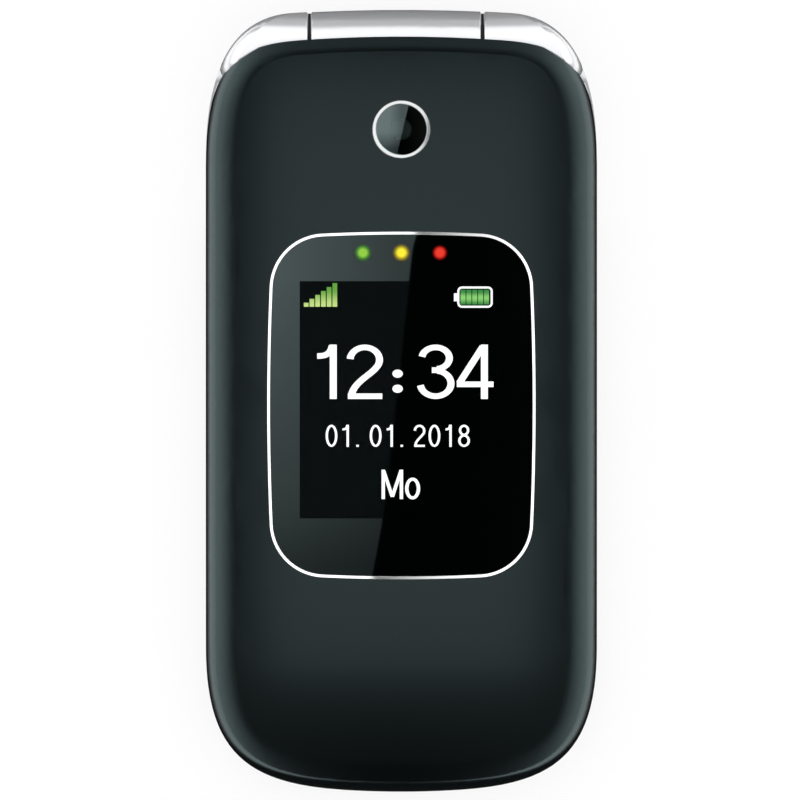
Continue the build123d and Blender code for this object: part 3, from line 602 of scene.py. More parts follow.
@dataclass(frozen=True)
class WindowGlass(Finish):
    """Window printed black underneath, clear only over the display and the lights."""

    half_x: float = 14.0 * MM
    low_y: float = -16.2 * MM
    high_y: float = 16.48 * MM
    light_x: tuple[float, ...] = (-5.3 * MM, 0.0, 5.3 * MM)
    light_y: float = 20.4 * MM
    light_core: float = 0.50 * MM
    light_radius: float = 1.45 * MM
    clear: float = 0.0

    def build(self) -> bpy.types.Material:
        """Make the material.

        Returns:
            The finished material.
        """
        material, graph, shader = self.start()
        self.surface(graph, shader, self.colour)
        opening = graph.opening(self.half_x, self.low_y, self.high_y)
        for light in self.light_x:
            far = graph.distance((light, self.light_y))
            spot = graph.spread(far, (self.light_core, self.light_radius), (1.0, 0.0))
            opening = graph.number("MAXIMUM", opening, spot)
        print_alpha = graph.spread(opening, (0.0, 1.0), (1.0, self.clear), smooth=False)
        graph.feed(shader, {"Alpha": graph.number("MULTIPLY", print_alpha, graph.front())})
        return material


@dataclass(frozen=True)
class CameraGlass(Finish):
    """Glass printed black underneath, clear only over the lens."""

    centre_y: float = 37.4 * MM
    radius: float = 1.45 * MM
    soft: float = 0.12 * MM
    clear: float = 0.5

    def build(self) -> bpy.types.Material:
        """Make the material.

        Returns:
            The finished material.
        """
        material, graph, shader = self.start()
        self.surface(graph, shader, self.colour)
        far = graph.distance((0.0, self.centre_y))
        ring = (self.radius, self.radius + self.soft)
        alpha = graph.number("MULTIPLY", graph.spread(far, ring, (self.clear, 1.0)), graph.front())
        level = graph.spread(far, ring, (self.specular / self.clear, self.specular))
        graph.feed(shader, {"Alpha": alpha, "Specular IOR Level": level})
        return material


@dataclass(frozen=True)
class Circuit(Finish):
    """Solder mask with the copper tracks that show through it."""

    track: Colour = (0.03, 0.16, 0.07, 1.0)
    scale: float = 260.0
    width: float = 0.03

    def build(self) -> bpy.types.Material:
        """Make the material.

        Returns:
            The finished material.
        """
        material, graph, shader = self.start()
        place = graph.place()
        pattern = {"Scale": self.scale, "Mortar Size": self.width, "Color1": WHITE, "Color2": WHITE}
        bricks = graph.add("TexBrick", {"Vector": place, **pattern})
        self.surface(graph, shader, graph.mix(bricks.outputs["Fac"], self.colour, self.track))
        return material


@dataclass(frozen=True)
class LitScreen(Finish):
    """Large display with a plain blue ground that fades towards its foot."""

    glow: float = 1.0
    low: Colour = (0.01, 0.03, 0.06, 1.0)
    high: Colour = (0.05, 0.16, 0.30, 1.0)
    half_x: float = 20.4 * MM
    low_y: float = -34.4 * MM
    high_y: float = 22.4 * MM

    def build(self) -> bpy.types.Material:
        """Make the material.

        Returns:
            The finished material.
        """
        material, graph, shader = self.start()
        self.surface(graph, shader, self.colour)
        _, y, _ = graph.position()
        ground = graph.mix(graph.spread(y, (self.low_y, self.high_y), (1.0, 0.0)), self.low, self.high)
        lit = graph.mix(graph.opening(self.half_x, self.low_y, self.high_y), BLACK, ground)
        graph.feed(shader, {"Emission Color": lit})
        return material


class Finishes:
    """Every finish of the phone, made into a material when it is first asked for."""

    def __init__(self) -> None:
        """List the finishes under the record's slot names, and the extra ones under their own."""
        steel = {"metallic": 1.0, "marks": 0.12, "grain_depth": 1.0e-6}
        rubber = {"roughness": 0.75, "specular": 0.3, "grain_depth": 8.0e-6, "grain_scale": 1800.0}
        trim = {"metallic": 0.95, "marks": 0.01, "grain_depth": 1.0e-8, "drift": 0.01}
        key = {"roughness": 0.32, "coat": 0.25, "rub": 0.12, "rubbed": tone(90, 92, 94),
               "grain_depth": 1.5e-6}
        finishes = (
            Finish("lid_slate", (0.0024, 0.0034, 0.0035, 1.0), 0.15, specular=1.0,
                   tint=(0.70, 0.97, 1.0, 1.0),
                   grain_depth=1.0e-7, grain_scale=1500.0, drift=0.03, marks=0.01),
            Lacquer("silver_shell", tone(238, 239, 241), 0.24, metallic=0.6,
                    grain_depth=3.0e-7, grain_scale=3200.0, drift=0.02, marks=0.04),
            Finish("hinge_black", tone(26, 26, 28), 0.5, marks=0.05),
            Finish("black_panel", tone(20, 21, 23), 0.18, coat=0.4, marks=0.06),
            Finish("cover_black", tone(34, 36, 37), 0.62, grain_depth=1.4e-5,
                   grain_scale=1500.0, rub=0.3, rubbed=tone(70, 72, 74), marks=0.1),
            WindowGlass("window_glass", (0.0002, 0.0005, 0.0004, 1.0), 0.02, specular=0.25,
                        marks=0.006, grain_depth=1.0e-8, drift=0.0),
            CameraGlass("camera_glass", (0.0002, 0.0006, 0.0006, 1.0), 0.02,
                        marks=0.004, grain_depth=1.0e-8, drift=0.0),
            WindowGlass("clear_glass", (0.002, 0.002, 0.002, 1.0), 0.03, marks=0.01,
                        grain_depth=1.0e-8, drift=0.0, half_x=20.5 * MM,
                        low_y=-34.5 * MM, high_y=22.5 * MM, light_x=(), clear=0.2),
            Crowned("chrome_trim", tone(250, 250, 251), 0.05, **trim),
            Crowned("camera_trim", (0.60, 0.61, 0.61, 1.0), 0.05, **trim),
            Crowned("display_module", (0.0002, 0.0006, 0.0005, 1.0), 0.03, specular=0.25,
                    marks=0.0, grain_depth=1.0e-8),
            LitScreen("inner_screen", (0.004, 0.004, 0.005, 1.0), 0.3, marks=0.02),
            Circuit("circuit_board", (0.012, 0.075, 0.035, 1.0), 0.4, marks=0.05),
            Finish("tin_plate", tone(196, 197, 198), 0.34, **steel),
            Finish("steel", tone(182, 182, 184), 0.28, **steel),
            Finish("contact_block", tone(28, 28, 30), 0.5),
            Finish("battery_wrap", tone(58, 61, 64), 0.42, coat=0.2, marks=0.08, drift=0.06),
            Finish("rubber_black", tone(30, 30, 31), **rubber),
            Finish("rubber_grey", tone(206, 208, 210), **rubber),
            Finish("key_black", tone(26, 27, 29), **key),
            Finish("key_green", tone(24, 27, 27), **key),
            Finish("key_red", tone(27, 25, 26), **key),
            Lit("light_green", tone(150, 205, 75), 0.4, glow=0.85),
            Lit("light_yellow", tone(252, 240, 60), 0.4, glow=0.95),
            Lit("light_red", tone(240, 62, 46), 0.4, glow=0.9),
            Finish("flex_film", tone(170, 98, 30), 0.35, drift=0.1),
            Finish("camera_black", tone(10, 11, 12), 0.45, specular=0.2),
            Finish("lens", (0.030, 0.048, 0.048, 1.0), 0.08, coat=0.6, marks=0.01),
            Lit("display_white", tone(252, 253, 253), 0.5, drift=0.01, glow=1.15),
            LitFade("icon_green", tone(196, 222, 130), 0.5, drift=0.1,
                    middle=12.85 * MM, reach=2.6 * MM, away=tone(92, 160, 48)),
            LitFade("cell_green", tone(130, 205, 105), 0.5, drift=0.1,
                    middle=14.2 * MM, reach=0.9 * MM, away=tone(38, 130, 52)),
            Finish("legend_white", tone(236, 238, 240), 0.45, drift=0.02),
            Finish("legend_green", tone(70, 205, 90), 0.45, drift=0.03),
            Finish("legend_red", tone(235, 70, 55), 0.45, drift=0.03),
            Finish("mesh_cloth", tone(40, 40, 42), 0.8, grain_depth=3.0e-5, grain_scale=2400.0),
        )
        self.listed = {finish.name: finish for finish in finishes}
        self.made: dict[str, bpy.types.Material] = {}

    def get(self, name: str) -> bpy.types.Material:
        """Give the material of a finish.

        Args:
            name: Name of the finish.

        Returns:
            The one material that every piece with this finish shares.
        """
        if name not in self.made:
            self.made[name] = self.listed[name].build()
        return self.made[name]

    def add(self, finish: Finish) -> str:
        """List one more finish and give its name."""
        self.listed[finish.name] = finish
        return finish.name


FINISHES = Finishes()


# ---------------------------------------------------------------- flat marks


@dataclass
class Marks:
    """Flat printed or lit marks, gathered from strips and outlines into one thin piece."""

    name: str
    finish: str
    body: str
    slot: str
    height: float
    down: bool = False
    corners: list[Vector] = field(default_factory=list)
    faces: list[list[int]] = field(default_factory=list)
    strokes: int = 0

    def level(self) -> float:
        """Height of the next stroke, a hair further out than the last one."""
        self.strokes += 1
        return self.height + (-STROKE_LIFT if self.down else STROKE_LIFT) * (self.strokes - 1)

    def outline(self, points: Sequence[Point]) -> None:
        """Add one filled outline.

        Args:
            points: Its corners in order, in metres.
        """
        first = len(self.corners)
        height = self.level()
        self.corners += [Vector((x, y, height)) for x, y in points]
        self.faces.append(list(range(first, first + len(points))))

    def block(self, low: Point, high: Point) -> None:
        """Add one filled rectangle between its lowest and highest corner."""
        self.outline([low, (high[0], low[1]), high, (low[0], high[1])])

    def disc(self, centre: Point, radii: Point, steps: int) -> None:
        """Add one filled ellipse with so many corners."""
        self.outline(arc(centre, radii, 0, 360, steps)[:-1])

    def strip(self, points: Sequence[Point], width: float, level_width: float | None = None) -> None:
        """Add a strip along a line.

        Args:
            points: Points of its middle line, in metres.
            width: Width of the strip where the line is upright.
            level_width: Width where the line is level, or None for the same width.
        """
        widths = Vector((width, width if level_width is None else level_width)) / 2
        first = len(self.corners)
        height = self.level()
        count = len(points)
        for index, (x, y) in enumerate(points):
            before = Vector(points[max(index - 1, 0)])
            after = Vector(points[min(index + 1, count - 1)])
            along = (after - before).normalized()
            side = Vector((-along.y * widths.x, along.x * widths.y))
            self.corners += [Vector((x + side.x, y + side.y, height)),
                             Vector((x - side.x, y - side.y, height))]
        for index in range(count - 1):
            at = first + 2 * index
            self.faces.append([at, at + 1, at + 3, at + 2])

    def build(self) -> bpy.types.Object:
        """Make the piece and let it ride on its body.

        Returns:
            The new object.
        """
        mesh = bpy.data.meshes.new(self.name)
        mesh.from_pydata([tuple(c) for c in self.corners], [], self.faces)
        work = bmesh.new()
        work.from_mesh(mesh)
        bmesh.ops.recalc_face_normals(work, faces=work.faces)
        want = -1.0 if self.down else 1.0
        for face in work.faces:
            if face.normal.z * want < 0:
                face.normal_flip()
        work.to_mesh(mesh)
        work.free()
        piece = place_object(self.name, mesh)
        mesh.materials.append(FINISHES.get(self.finish))
        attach(piece, self.body)
        LOG.info("made %s on %s", self.name, self.body)
        return piece


def arc(centre: Point, radii: Point, start: float, end: float, steps: int = 20) -> list[Point]:
    """Points along part of an ellipse with half width and half height radii, angles in degrees."""
    angles = [math.radians(start + (end - start) * step / steps) for step in range(steps + 1)]
    return [(centre[0] + radii[0] * math.cos(a), centre[1] + radii[1] * math.sin(a)) for a in angles]


def curve(points: Sequence[Point], steps: int = 14) -> list[Point]:
    """Points along a cubic curve.

    Args:
        points: Its four control points.
        steps: How many spans the curve has.

    Returns:
        The points in order.
    """
    spots = []
    for step in range(steps + 1):
        t = step / steps
        weights = ((1 - t) ** 3, 3 * t * (1 - t) ** 2, 3 * t * t * (1 - t), t**3)
        spots.append((sum(w * p[0] for w, p in zip(weights, points)),
                      sum(w * p[1] for w, p in zip(weights, points))))
    return spots


class Glyphs:
    """Plain upright figures drawn with strokes of even width, in a box one unit high."""

    WIDTH = 0.70

    def __init__(self, stroke: float = 0.135, level: float = 0.11) -> None:
        """Set the widths of upright and level strokes as shares of the height."""
        self.stroke = stroke
        self.level = level

    def strokes(self, sign: str) -> list[list[Point]]:
        """Middle lines of the strokes of one sign.

        Args:
            sign: One figure or sign.

        Returns:
            One list of points for each stroke.
        """
        half = self.stroke / 2
        low = self.level / 2
        right = self.WIDTH - half
        middle = self.WIDTH / 2
        across = middle - half
        drawn = {
            "0": [arc((middle, 0.5), (across, 0.5 - low), 0, 360, 40)],
            "1": [[(0.42, 0.0), (0.42, 1.0)],
                  curve([(0.10, 0.79), (0.25, 0.79), (0.36, 0.81), (0.40, 0.98)])],
            "2": [
                arc((middle, 0.72), (across, 0.28 - low), 176, -30, 24)
                + curve([(0.591, 0.608), (0.49, 0.44), (0.13, 0.33), (0.085, 0.05)])[1:],
                [(0.02, low), (self.WIDTH - 0.01, low)],
            ],
            "3": [
                arc((middle - 0.01, 0.75), (across - 0.03, 0.25 - low), 172, -84, 24),
                arc((middle - 0.01, 0.285), (across, 0.285 - low), 84, -172, 26),
                [(0.27, 0.53), (0.38, 0.53)],
            ],
            "4": [[(0.53, 0.0), (0.53, 1.0)], [(0.02, 0.27), (self.WIDTH, 0.27)],
                  [(0.065, 0.29), (0.50, 0.96)]],
            "5": [
                [(0.13, 1 - low), (right, 1 - low)],
                [(0.145, 1.0), (0.10, 0.50)],
                arc((middle - 0.01, 0.325), (across, 0.325 - low), 140, -162, 28),
            ],
            "6": [
                arc((middle, 0.32), (across, 0.32 - low), 0, 360, 36),
                arc((middle, 0.48), (across, 0.52 - low), 190, 28, 24),
            ],
            "7": [
                [(0.03, 1 - low), (right + half, 1 - low)],
                curve([(right - 0.01, 0.94), (0.42, 0.66), (0.29, 0.36), (0.25, 0.0)]),
            ],
            "8": [
                arc((middle, 0.75), (across - 0.04, 0.25 - low), 0, 360, 34),
                arc((middle, 0.28), (across, 0.28 - low), 0, 360, 36),
            ],
            "9": [
                arc((middle, 0.68), (across, 0.32 - low), 0, 360, 36),
                arc((middle, 0.52), (across, 0.52 - low), 10, -152, 24),
            ],
            "#": [[(0.20, 0.08), (0.26, 0.92)], [(0.46, 0.08), (0.52, 0.92)],
                  [(0.02, 0.66), (0.70, 0.66)], [(0.02, 0.34), (0.70, 0.34)]],
            "*": [[(middle + 0.26 * math.cos(math.radians(a)), 0.55 + 0.26 * math.sin(math.radians(a))),
                   (middle - 0.26 * math.cos(math.radians(a)), 0.55 - 0.26 * math.sin(math.radians(a)))]
                  for a in (90, 30, -30)],
            "M": [[(half, 0.0), (half, 1.0)], [(half + 0.01, 0.98), (0.42, 0.08)],
                  [(0.42, 0.08), (0.83 - half, 0.98)], [(0.84 - half, 0.0), (0.84 - half, 1.0)]],
            "o": [arc((0.29, 0.36), (0.29 - half, 0.37 - low), 0, 360, 36)],
            ".": [[(0.0, low), (self.stroke, low)]],
        }
        return drawn[sign]

    def draw(self, marks: Marks, sign: str, box: tuple[Point, Point]) -> None:
        """Draw one sign into a rectangle.

        Args:
            marks: Piece that takes the strokes.
            sign: One figure or sign.
            box: Lowest and highest corner of the rectangle.
        """
        (low_x, low_y), (high_x, high_y) = box
        lines = self.strokes(sign)
        spots = [spot for line in lines for spot in line]
        pad = self.stroke / 2
        wide = {"1": (0.10, 0.42 + pad), "4": (0.03, self.WIDTH), ".": (0.0, self.stroke)}
        first, last = wide.get(sign, (min(s[0] for s in spots) - pad, max(s[0] for s in spots) + pad))
        scale_y = high_y - low_y
        scale_x = (high_x - low_x) / (last - first)
        mirror = -1.0 if marks.down else 1.0
        for line in lines:
            placed = [(mirror * (low_x + (x - first) * scale_x), low_y + y * scale_y) for x, y in line]
            marks.strip(placed, self.stroke * scale_y, self.level * scale_y)

    def row(self, marks: Marks, columns: Sequence[Column], low: float, high: float) -> None:
        """Draw a row of signs, each given with its left and right edge in millimetres."""
        for sign, left, right in columns:
            self.draw(marks, sign, ((left * MM, low), (right * MM, high)))


# ---------------------------------------------------------------- sub-assemblies


@dataclass
class Assembly:
    """Pieces of the frame that belong together, with their finishes and what is added to them."""

    pieces: Pieces = ()

    def dress(self) -> None:
        """Give each piece its finish."""
        for node, finish in self.pieces:
            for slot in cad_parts[node].material_slots:
                slot.material = FINISHES.get(finish)

    def build(self) -> None:
        """Add what the frame doesn't hold, which is nothing unless an assembly says more."""


@dataclass
class OuterScreen(Assembly):
    """Outer window with its ring, the display under it and the three lights."""

    pieces: Pieces = (
        ("outer_window", "window_glass"),
        ("window_bezel", "chrome_trim"),
        ("outer_display", "display_module"),
        ("light_green", "light_green"),
        ("light_yellow", "light_yellow"),
        ("light_red", "light_red"),
    )
    display_top: float = 17.5 * MM
    clock_low: float = 0.25 * MM
    clock_high: float = 7.75 * MM
    dot_x: float = -0.52 * MM
    dot_y: tuple[float, ...] = (3.74 * MM, 1.66 * MM)
    dot_radii: Point = (0.72 * MM, 0.56 * MM)
    date_low: float = -6.35 * MM
    date_high: float = -3.30 * MM
    day_low: float = -13.55 * MM
    day_high: float = -9.50 * MM
    sign_low: float = 12.97 * MM
    bar_left: float = -13.45 * MM
    bar_pitch: float = 0.79 * MM
    bar_width: float = 0.65 * MM
    bar_first: float = 0.55 * MM
    bar_rise: float = 0.54 * MM
    battery_left: float = 7.85 * MM
    battery_right: float = 12.45 * MM
    battery_high: float = 15.62 * MM
    battery_round: float = 0.5 * MM
    battery_line: float = 0.28 * MM
    terminal_left: float = 7.25 * MM
    terminal_half: float = 0.55 * MM
    terminal_y: float = 14.27 * MM
    cell_margin: float = 0.30 * MM
    cell_pitch: float = 0.81 * MM
    cell_width: float = 0.70 * MM
    glow_depth: float = 0.10 * MM
    glow_radius: float = 1.5 * MM
    light_y: float = 20.4 * MM
    light_pitch: float = 5.3 * MM
    glow_edges: tuple[tuple[str, Colour, float], ...] = (
        ("green", tone(80, 158, 48), 1.48 * MM),
        ("yellow", tone(205, 180, 35), 1.48 * MM),
        ("red", tone(190, 30, 28), 1.15 * MM),
    )

    def marks(self, name: str, finish: str) -> Marks:
        """Start a set of marks on the display."""
        return Marks(name, finish, "lid", "display_module", self.display_top + PRINT_LIFT)

    def clock(self) -> None:
        """Draw the hours and minutes."""
        marks = self.marks("clock_figures", "display_white")
        columns = (("1", -11.61, -8.95), ("2", -7.83, -2.18), ("3", 2.15, 7.31), ("4", 7.72, 12.71))
        Glyphs(0.128, 0.102).row(marks, columns, self.clock_low, self.clock_high)
        for dot_y in self.dot_y:
            marks.disc((self.dot_x, dot_y), self.dot_radii, 24)
        marks.build()

    def date(self) -> None:
        """Draw the day, month and year."""
        marks = self.marks("date_figures", "display_white")
        columns = (("0", -10.40, -8.87), ("1", -8.12, -7.28), (".", -6.22, -5.87), ("0", -4.32, -2.78),
                   ("1", -2.03, -1.22), (".", -0.12, 0.22), ("2", 1.66, 3.36), ("0", 3.79, 5.32),
                   ("1", 6.09, 6.89), ("8", 7.88, 9.40))
        Glyphs(0.108, 0.095).row(marks, columns, self.date_low, self.date_high)
        marks.build()

    def weekday(self) -> None:
        """Draw the short name of the day."""
        marks = self.marks("weekday_letters", "display_white")
        columns = (("M", -2.70, 0.20), ("o", 0.55, 2.55))
        Glyphs(0.115, 0.10).row(marks, columns, self.day_low, self.day_high)
        marks.build()

    def signal(self) -> None:
        """Draw the rising bars of the signal strength."""
        marks = self.marks("signal_bars", "icon_green")
        for index in range(6):
            left = self.bar_left + self.bar_pitch * index
            high = self.sign_low + self.bar_first + self.bar_rise * index
            marks.block((left, self.sign_low), (left + self.bar_width, high))
        marks.build()

    def battery_sign(self) -> None:
        """Draw the battery sign with its five cells."""
        outline = self.marks("battery_outline", "display_white")
        left, right = self.battery_left + self.battery_round, self.battery_right - self.battery_round
        low, high = self.sign_low + self.battery_round, self.battery_high - self.battery_round
        corners = []
        for x, y, start in ((right, low, -90), (right, high, 0), (left, high, 90), (left, low, 180)):
            corners += arc((x, y), (self.battery_round, self.battery_round), start, start + 90, 5)
        outline.strip([*corners, corners[0]], self.battery_line)
        outline.block((self.terminal_left, self.terminal_y - self.terminal_half),
                      (self.battery_left, self.terminal_y + self.terminal_half))
        outline.build()
        cells = self.marks("battery_cells", "cell_green")
        low, high = self.sign_low + self.cell_margin, self.battery_high - self.cell_margin
        for index in range(5):
            start = self.battery_left + self.cell_margin + self.cell_pitch * index
            cells.block((start, low), (start + self.cell_width, high))
        cells.build()

    def glows(self) -> None:
        """Place a soft disc of light over each of the three lights, just under the glass's face."""
        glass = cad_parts["outer_window"]
        for index, (name, edge, reach) in enumerate(self.glow_edges):
            centre = ((index - 1) * self.light_pitch, self.light_y)
            colour = FINISHES.listed["light_" + name].colour
            finish = FINISHES.add(Halo("halo_" + name, colour, 0.5, centre=centre, edge=edge, reach=reach))
            _, spot, _, _ = glass.ray_cast((*centre, 1.0), (0.0, 0.0, -1.0))
            marks = Marks("light_halo_" + name, finish, "lid", "light_" + name, spot.z - self.glow_depth)
            marks.disc(centre, (self.glow_radius, self.glow_radius), 32)
            marks.build()

    def build(self) -> None:
        """Build everything that the display shows."""
        self.clock()
        self.date()
        self.weekday()
        self.signal()
        self.battery_sign()
        self.glows()


@dataclass
class CameraEye(Assembly):
    """Camera with its ring, glass and lens."""

    pieces: Pieces = (
        ("camera_ring", "camera_trim"),
        ("camera_window", "camera_glass"),
        ("camera_module", "camera_black"),
    )
    place_y: float = 37.4 * MM
    lens_radius: float = 1.5 * MM
    lens_foot: float = 18.3 * MM
    lens_rise: float = 0.32 * MM
    rings: int = 10
    spokes: int = 48

    def build(self) -> None:
        """Build the domed front lens."""
        work = bmesh.new()
        loops = []
        for ring in range(1, self.rings + 1):
            share = ring / self.rings
            height = self.lens_foot + self.lens_rise * (1 - share**2)
            points = arc((0.0, self.place_y), (self.lens_radius * share,) * 2, 0, 360, self.spokes)[:-1]
            loops.append([work.verts.new((x, y, height)) for x, y in points])
        top = work.verts.new((0.0, self.place_y, self.lens_foot + self.lens_rise))
        for index in range(self.spokes):
            after = (index + 1) % self.spokes
            work.faces.new((top, loops[0][index], loops[0][after]))
            for inner, outer in zip(loops, loops[1:]):
                work.faces.new((inner[index], outer[index], outer[after], inner[after]))
        for face in work.faces:
            face.smooth = True
        mesh = bpy.data.meshes.new("front_lens")
        work.to_mesh(mesh)
        work.free()
        lens = place_object("front_lens", mesh)
        mesh.materials.append(FINISHES.get("lens"))
        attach(lens, "lid")
        LOG.info("made the front lens")


@dataclass
class LidShell(Assembly):
    """Cover, inner housing and closing pieces of the lid."""

    pieces: Pieces = (
        ("lid_cover", "lid_slate"),
        ("lid_inner_housing", "silver_shell"),
        ("lid_bumpers", "rubber_black"),
        ("lid_screw_caps", "rubber_grey"),
        ("lid_screws", "steel"),
        ("lid_board", "circuit_board"),
        ("magnet", "steel"),
    )



@dataclass
class InnerScreen(Assembly):
    """Large display inside the lid, with its window and the earpiece."""

    pieces: Pieces = (
        ("inner_display", "inner_screen"),
        ("inner_window", "clear_glass"),
        ("earpiece", "mesh_cloth"),
    )
    surface: float = 13.4 * MM
    figure_low: float = -4.0 * MM
    figure_high: float = 6.0 * MM
    dot_x: float = 0.3 * MM
    dot_shares: Point = (0.3, 0.62)
    dot_radii: Point = (0.95 * MM, 0.8 * MM)
    middle_y: float = 12.0 * MM

    def build(self) -> None:
        """Draw the clock of the large display, which is read with the lid open."""
        marks = Marks("inner_clock", "display_white", "lid", "display_module",
                      self.surface - PRINT_LIFT, down=True)
        columns = (("1", -15.6, -12.1), ("2", -10.9, -3.7), ("3", 3.1, 10.3), ("4", 10.7, 17.9))
        low, high = self.figure_low, self.figure_high
        Glyphs(0.125, 0.10).row(marks, columns, low, high)
        for share in self.dot_shares:
            marks.disc((self.dot_x, share * (high - low) + low), self.dot_radii, 24)
        # Seen from inside, the display is upright when its head is at the free end of the lid.
        turn = Matrix.Rotation(math.pi, 4, "Z") @ Matrix.Translation((0, self.middle_y, 0))
        for corner in marks.corners:
            corner.xyz = turn @ corner
        marks.build()


def key_finish(node: str) -> str:
    """Name of a key's finish, which is also its slot."""
    return {"key_call": "key_green", "key_end": "key_red"}.get(node, "key_black")


@dataclass(frozen=True)
class Symbol:
    """Strokes of a printed symbol, in millimetres round the middle of its key."""

    strips: tuple[tuple[Sequence[Point], float], ...]
    discs: tuple[tuple[Point, float], ...] = ()

    def draw(self, marks: Marks, centre: Point) -> None:
        """Draw the symbol.

        Args:
            marks: Piece that takes the strokes.
            centre: Middle of the key, in metres.
        """
        for points, width in self.strips:
            marks.strip([(centre[0] + x * MM, centre[1] + y * MM) for x, y in points], width * MM)
        for (x, y), radius in self.discs:
            marks.disc((centre[0] + x * MM, centre[1] + y * MM), (radius * MM, radius * MM), 20)


@dataclass
class Keypad(Assembly):
    """Panel, keys and the legends printed on them."""

    pieces: Pieces = (
        ("keypad_panel", "black_panel"),
        *((name, key_finish(name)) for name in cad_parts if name.startswith("key_")),
    )
    key_top: float = 11.65 * MM
    figure_height: float = 5.6 * MM
    figure_width: float = 3.7 * MM
    one_share: float = 0.5  # width of the figure 1 beside the others

    def centre(self, node: str) -> Point:
        """Middle of a key, from its place in the frame."""
        low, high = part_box(node)
        return (low.x + high.x) / 2, (low.y + high.y) / 2

    def legend(self, node: str, finish: str = "legend_white") -> Marks:
        """Start the legend of a key."""
        return Marks(node + "_legend", finish, node, key_finish(node), self.key_top + PRINT_LIFT)

    def figures(self) -> None:
        """Print the figures, the star and the square."""
        plain, fine = Glyphs(0.14, 0.125), Glyphs(0.095, 0.085)
        signs = {str(n): f"key_{n}" for n in range(10)} | {"*": "key_star", "#": "key_hash"}
        for sign, node in signs.items():
            x, y = self.centre(node)
            marks = self.legend(node)
            width = self.figure_width * (self.one_share if sign == "1" else 1.0)
            low = y - self.figure_height / 2
            glyphs = fine if sign in "*#" else plain
            glyphs.draw(marks, sign, ((x - width / 2, low), (x + width / 2, low + self.figure_height)))
            marks.build()

    def symbols(self) -> None:
        """Print the handset, arrow and soft key symbols."""
        picked_up = Symbol(((arc((1.6, 1.6), (3.6, 3.6), 185, 265, 16), 1.0),),
                           (((-1.75, 1.2), 1.05), ((1.2, -1.75), 1.05)))
        hung_up = Symbol(((arc((0, -2.6), (3.1, 3.1), 160, 20, 20), 1.0),
                          (((-2.95, -1.9), (-2.95, 0.2)), 1.5), (((2.95, -1.9), (2.95, 0.2)), 1.5)))
        bar = Symbol(((((-2.2, 0.0), (2.2, 0.0)), 0.7),))
        for node, finish, symbol in (
            ("key_call", "legend_green", picked_up),
            ("key_end", "legend_red", hung_up),
            ("key_up", "legend_white", Symbol(((((-1.7, -0.8), (0.0, 0.9), (1.7, -0.8)), 0.6),))),
            ("key_down", "legend_white", Symbol(((((-1.7, 0.8), (0.0, -0.9), (1.7, 0.8)), 0.6),))),
            ("key_left", "legend_white", bar),
            ("key_right", "legend_white", bar),
            ("key_select", "legend_white", Symbol(((arc((0, 0), (2.0, 2.0), 0, 360, 40), 0.5),))),
        ):
            marks = self.legend(node, finish)
            symbol.draw(marks, self.centre(node))
            marks.build()

    def build(self) -> None:
        """Print every legend."""
        self.figures()
        self.symbols()


@dataclass
class BaseShell(Assembly):
    """Silver base with its back cover, battery bay and small fittings."""

    pieces: Pieces = (
        ("base_housing", "silver_shell"),
        ("battery_cover", "cover_black"),
        ("volume_rocker", "silver_shell"),
        ("main_board", "circuit_board"),
        ("dome_sheet", "flex_film"),
        ("shield_can", "tin_plate"),
        ("microphone", "tin_plate"),
        ("battery", "battery_wrap"),
        ("battery_contacts", "contact_block"),
        ("sim_holder", "tin_plate"),
        ("loudspeaker", "mesh_cloth"),
        ("vibration_motor", "steel"),
        ("charging_socket", "steel"),
        ("base_screws", "steel"),
        ("base_screw_plugs", "rubber_grey"),
    )



@dataclass
class Hinge(Assembly):
    """Spring cartridge, hinge head, hollow pin and the cable rolled in it."""

    pieces: Pieces = (
        ("hinge_cartridge", "steel"),
        ("hinge_head", "hinge_black"),
        ("hinge_bush", "hinge_black"),
        ("flex_cable", "flex_film"),
    )



# ---------------------------------------------------------------- studio


@dataclass(frozen=True)
class Card:
    """Reflecting card with one straight edge, which adds its light to some pieces only."""

    name: str
    width: float  # how far it reaches from the edge, below 0 to the right of it
    nodes: tuple[str, ...]
    colour: Colour = WHITE
    along_y: Point = (1.5, 1.5)  # brightness at both ends of the phone
    across_x: Point = (1.0, 1.0)  # its share far left and at the middle
    from_edge: Point = (1.0, 1.0)  # its share at the edge and well away from it
    span_y: Point = (-0.078, 0.030)
    span_x: Point = (-0.085, 0.0)
    span_edge: Point = (0.0, 0.075)


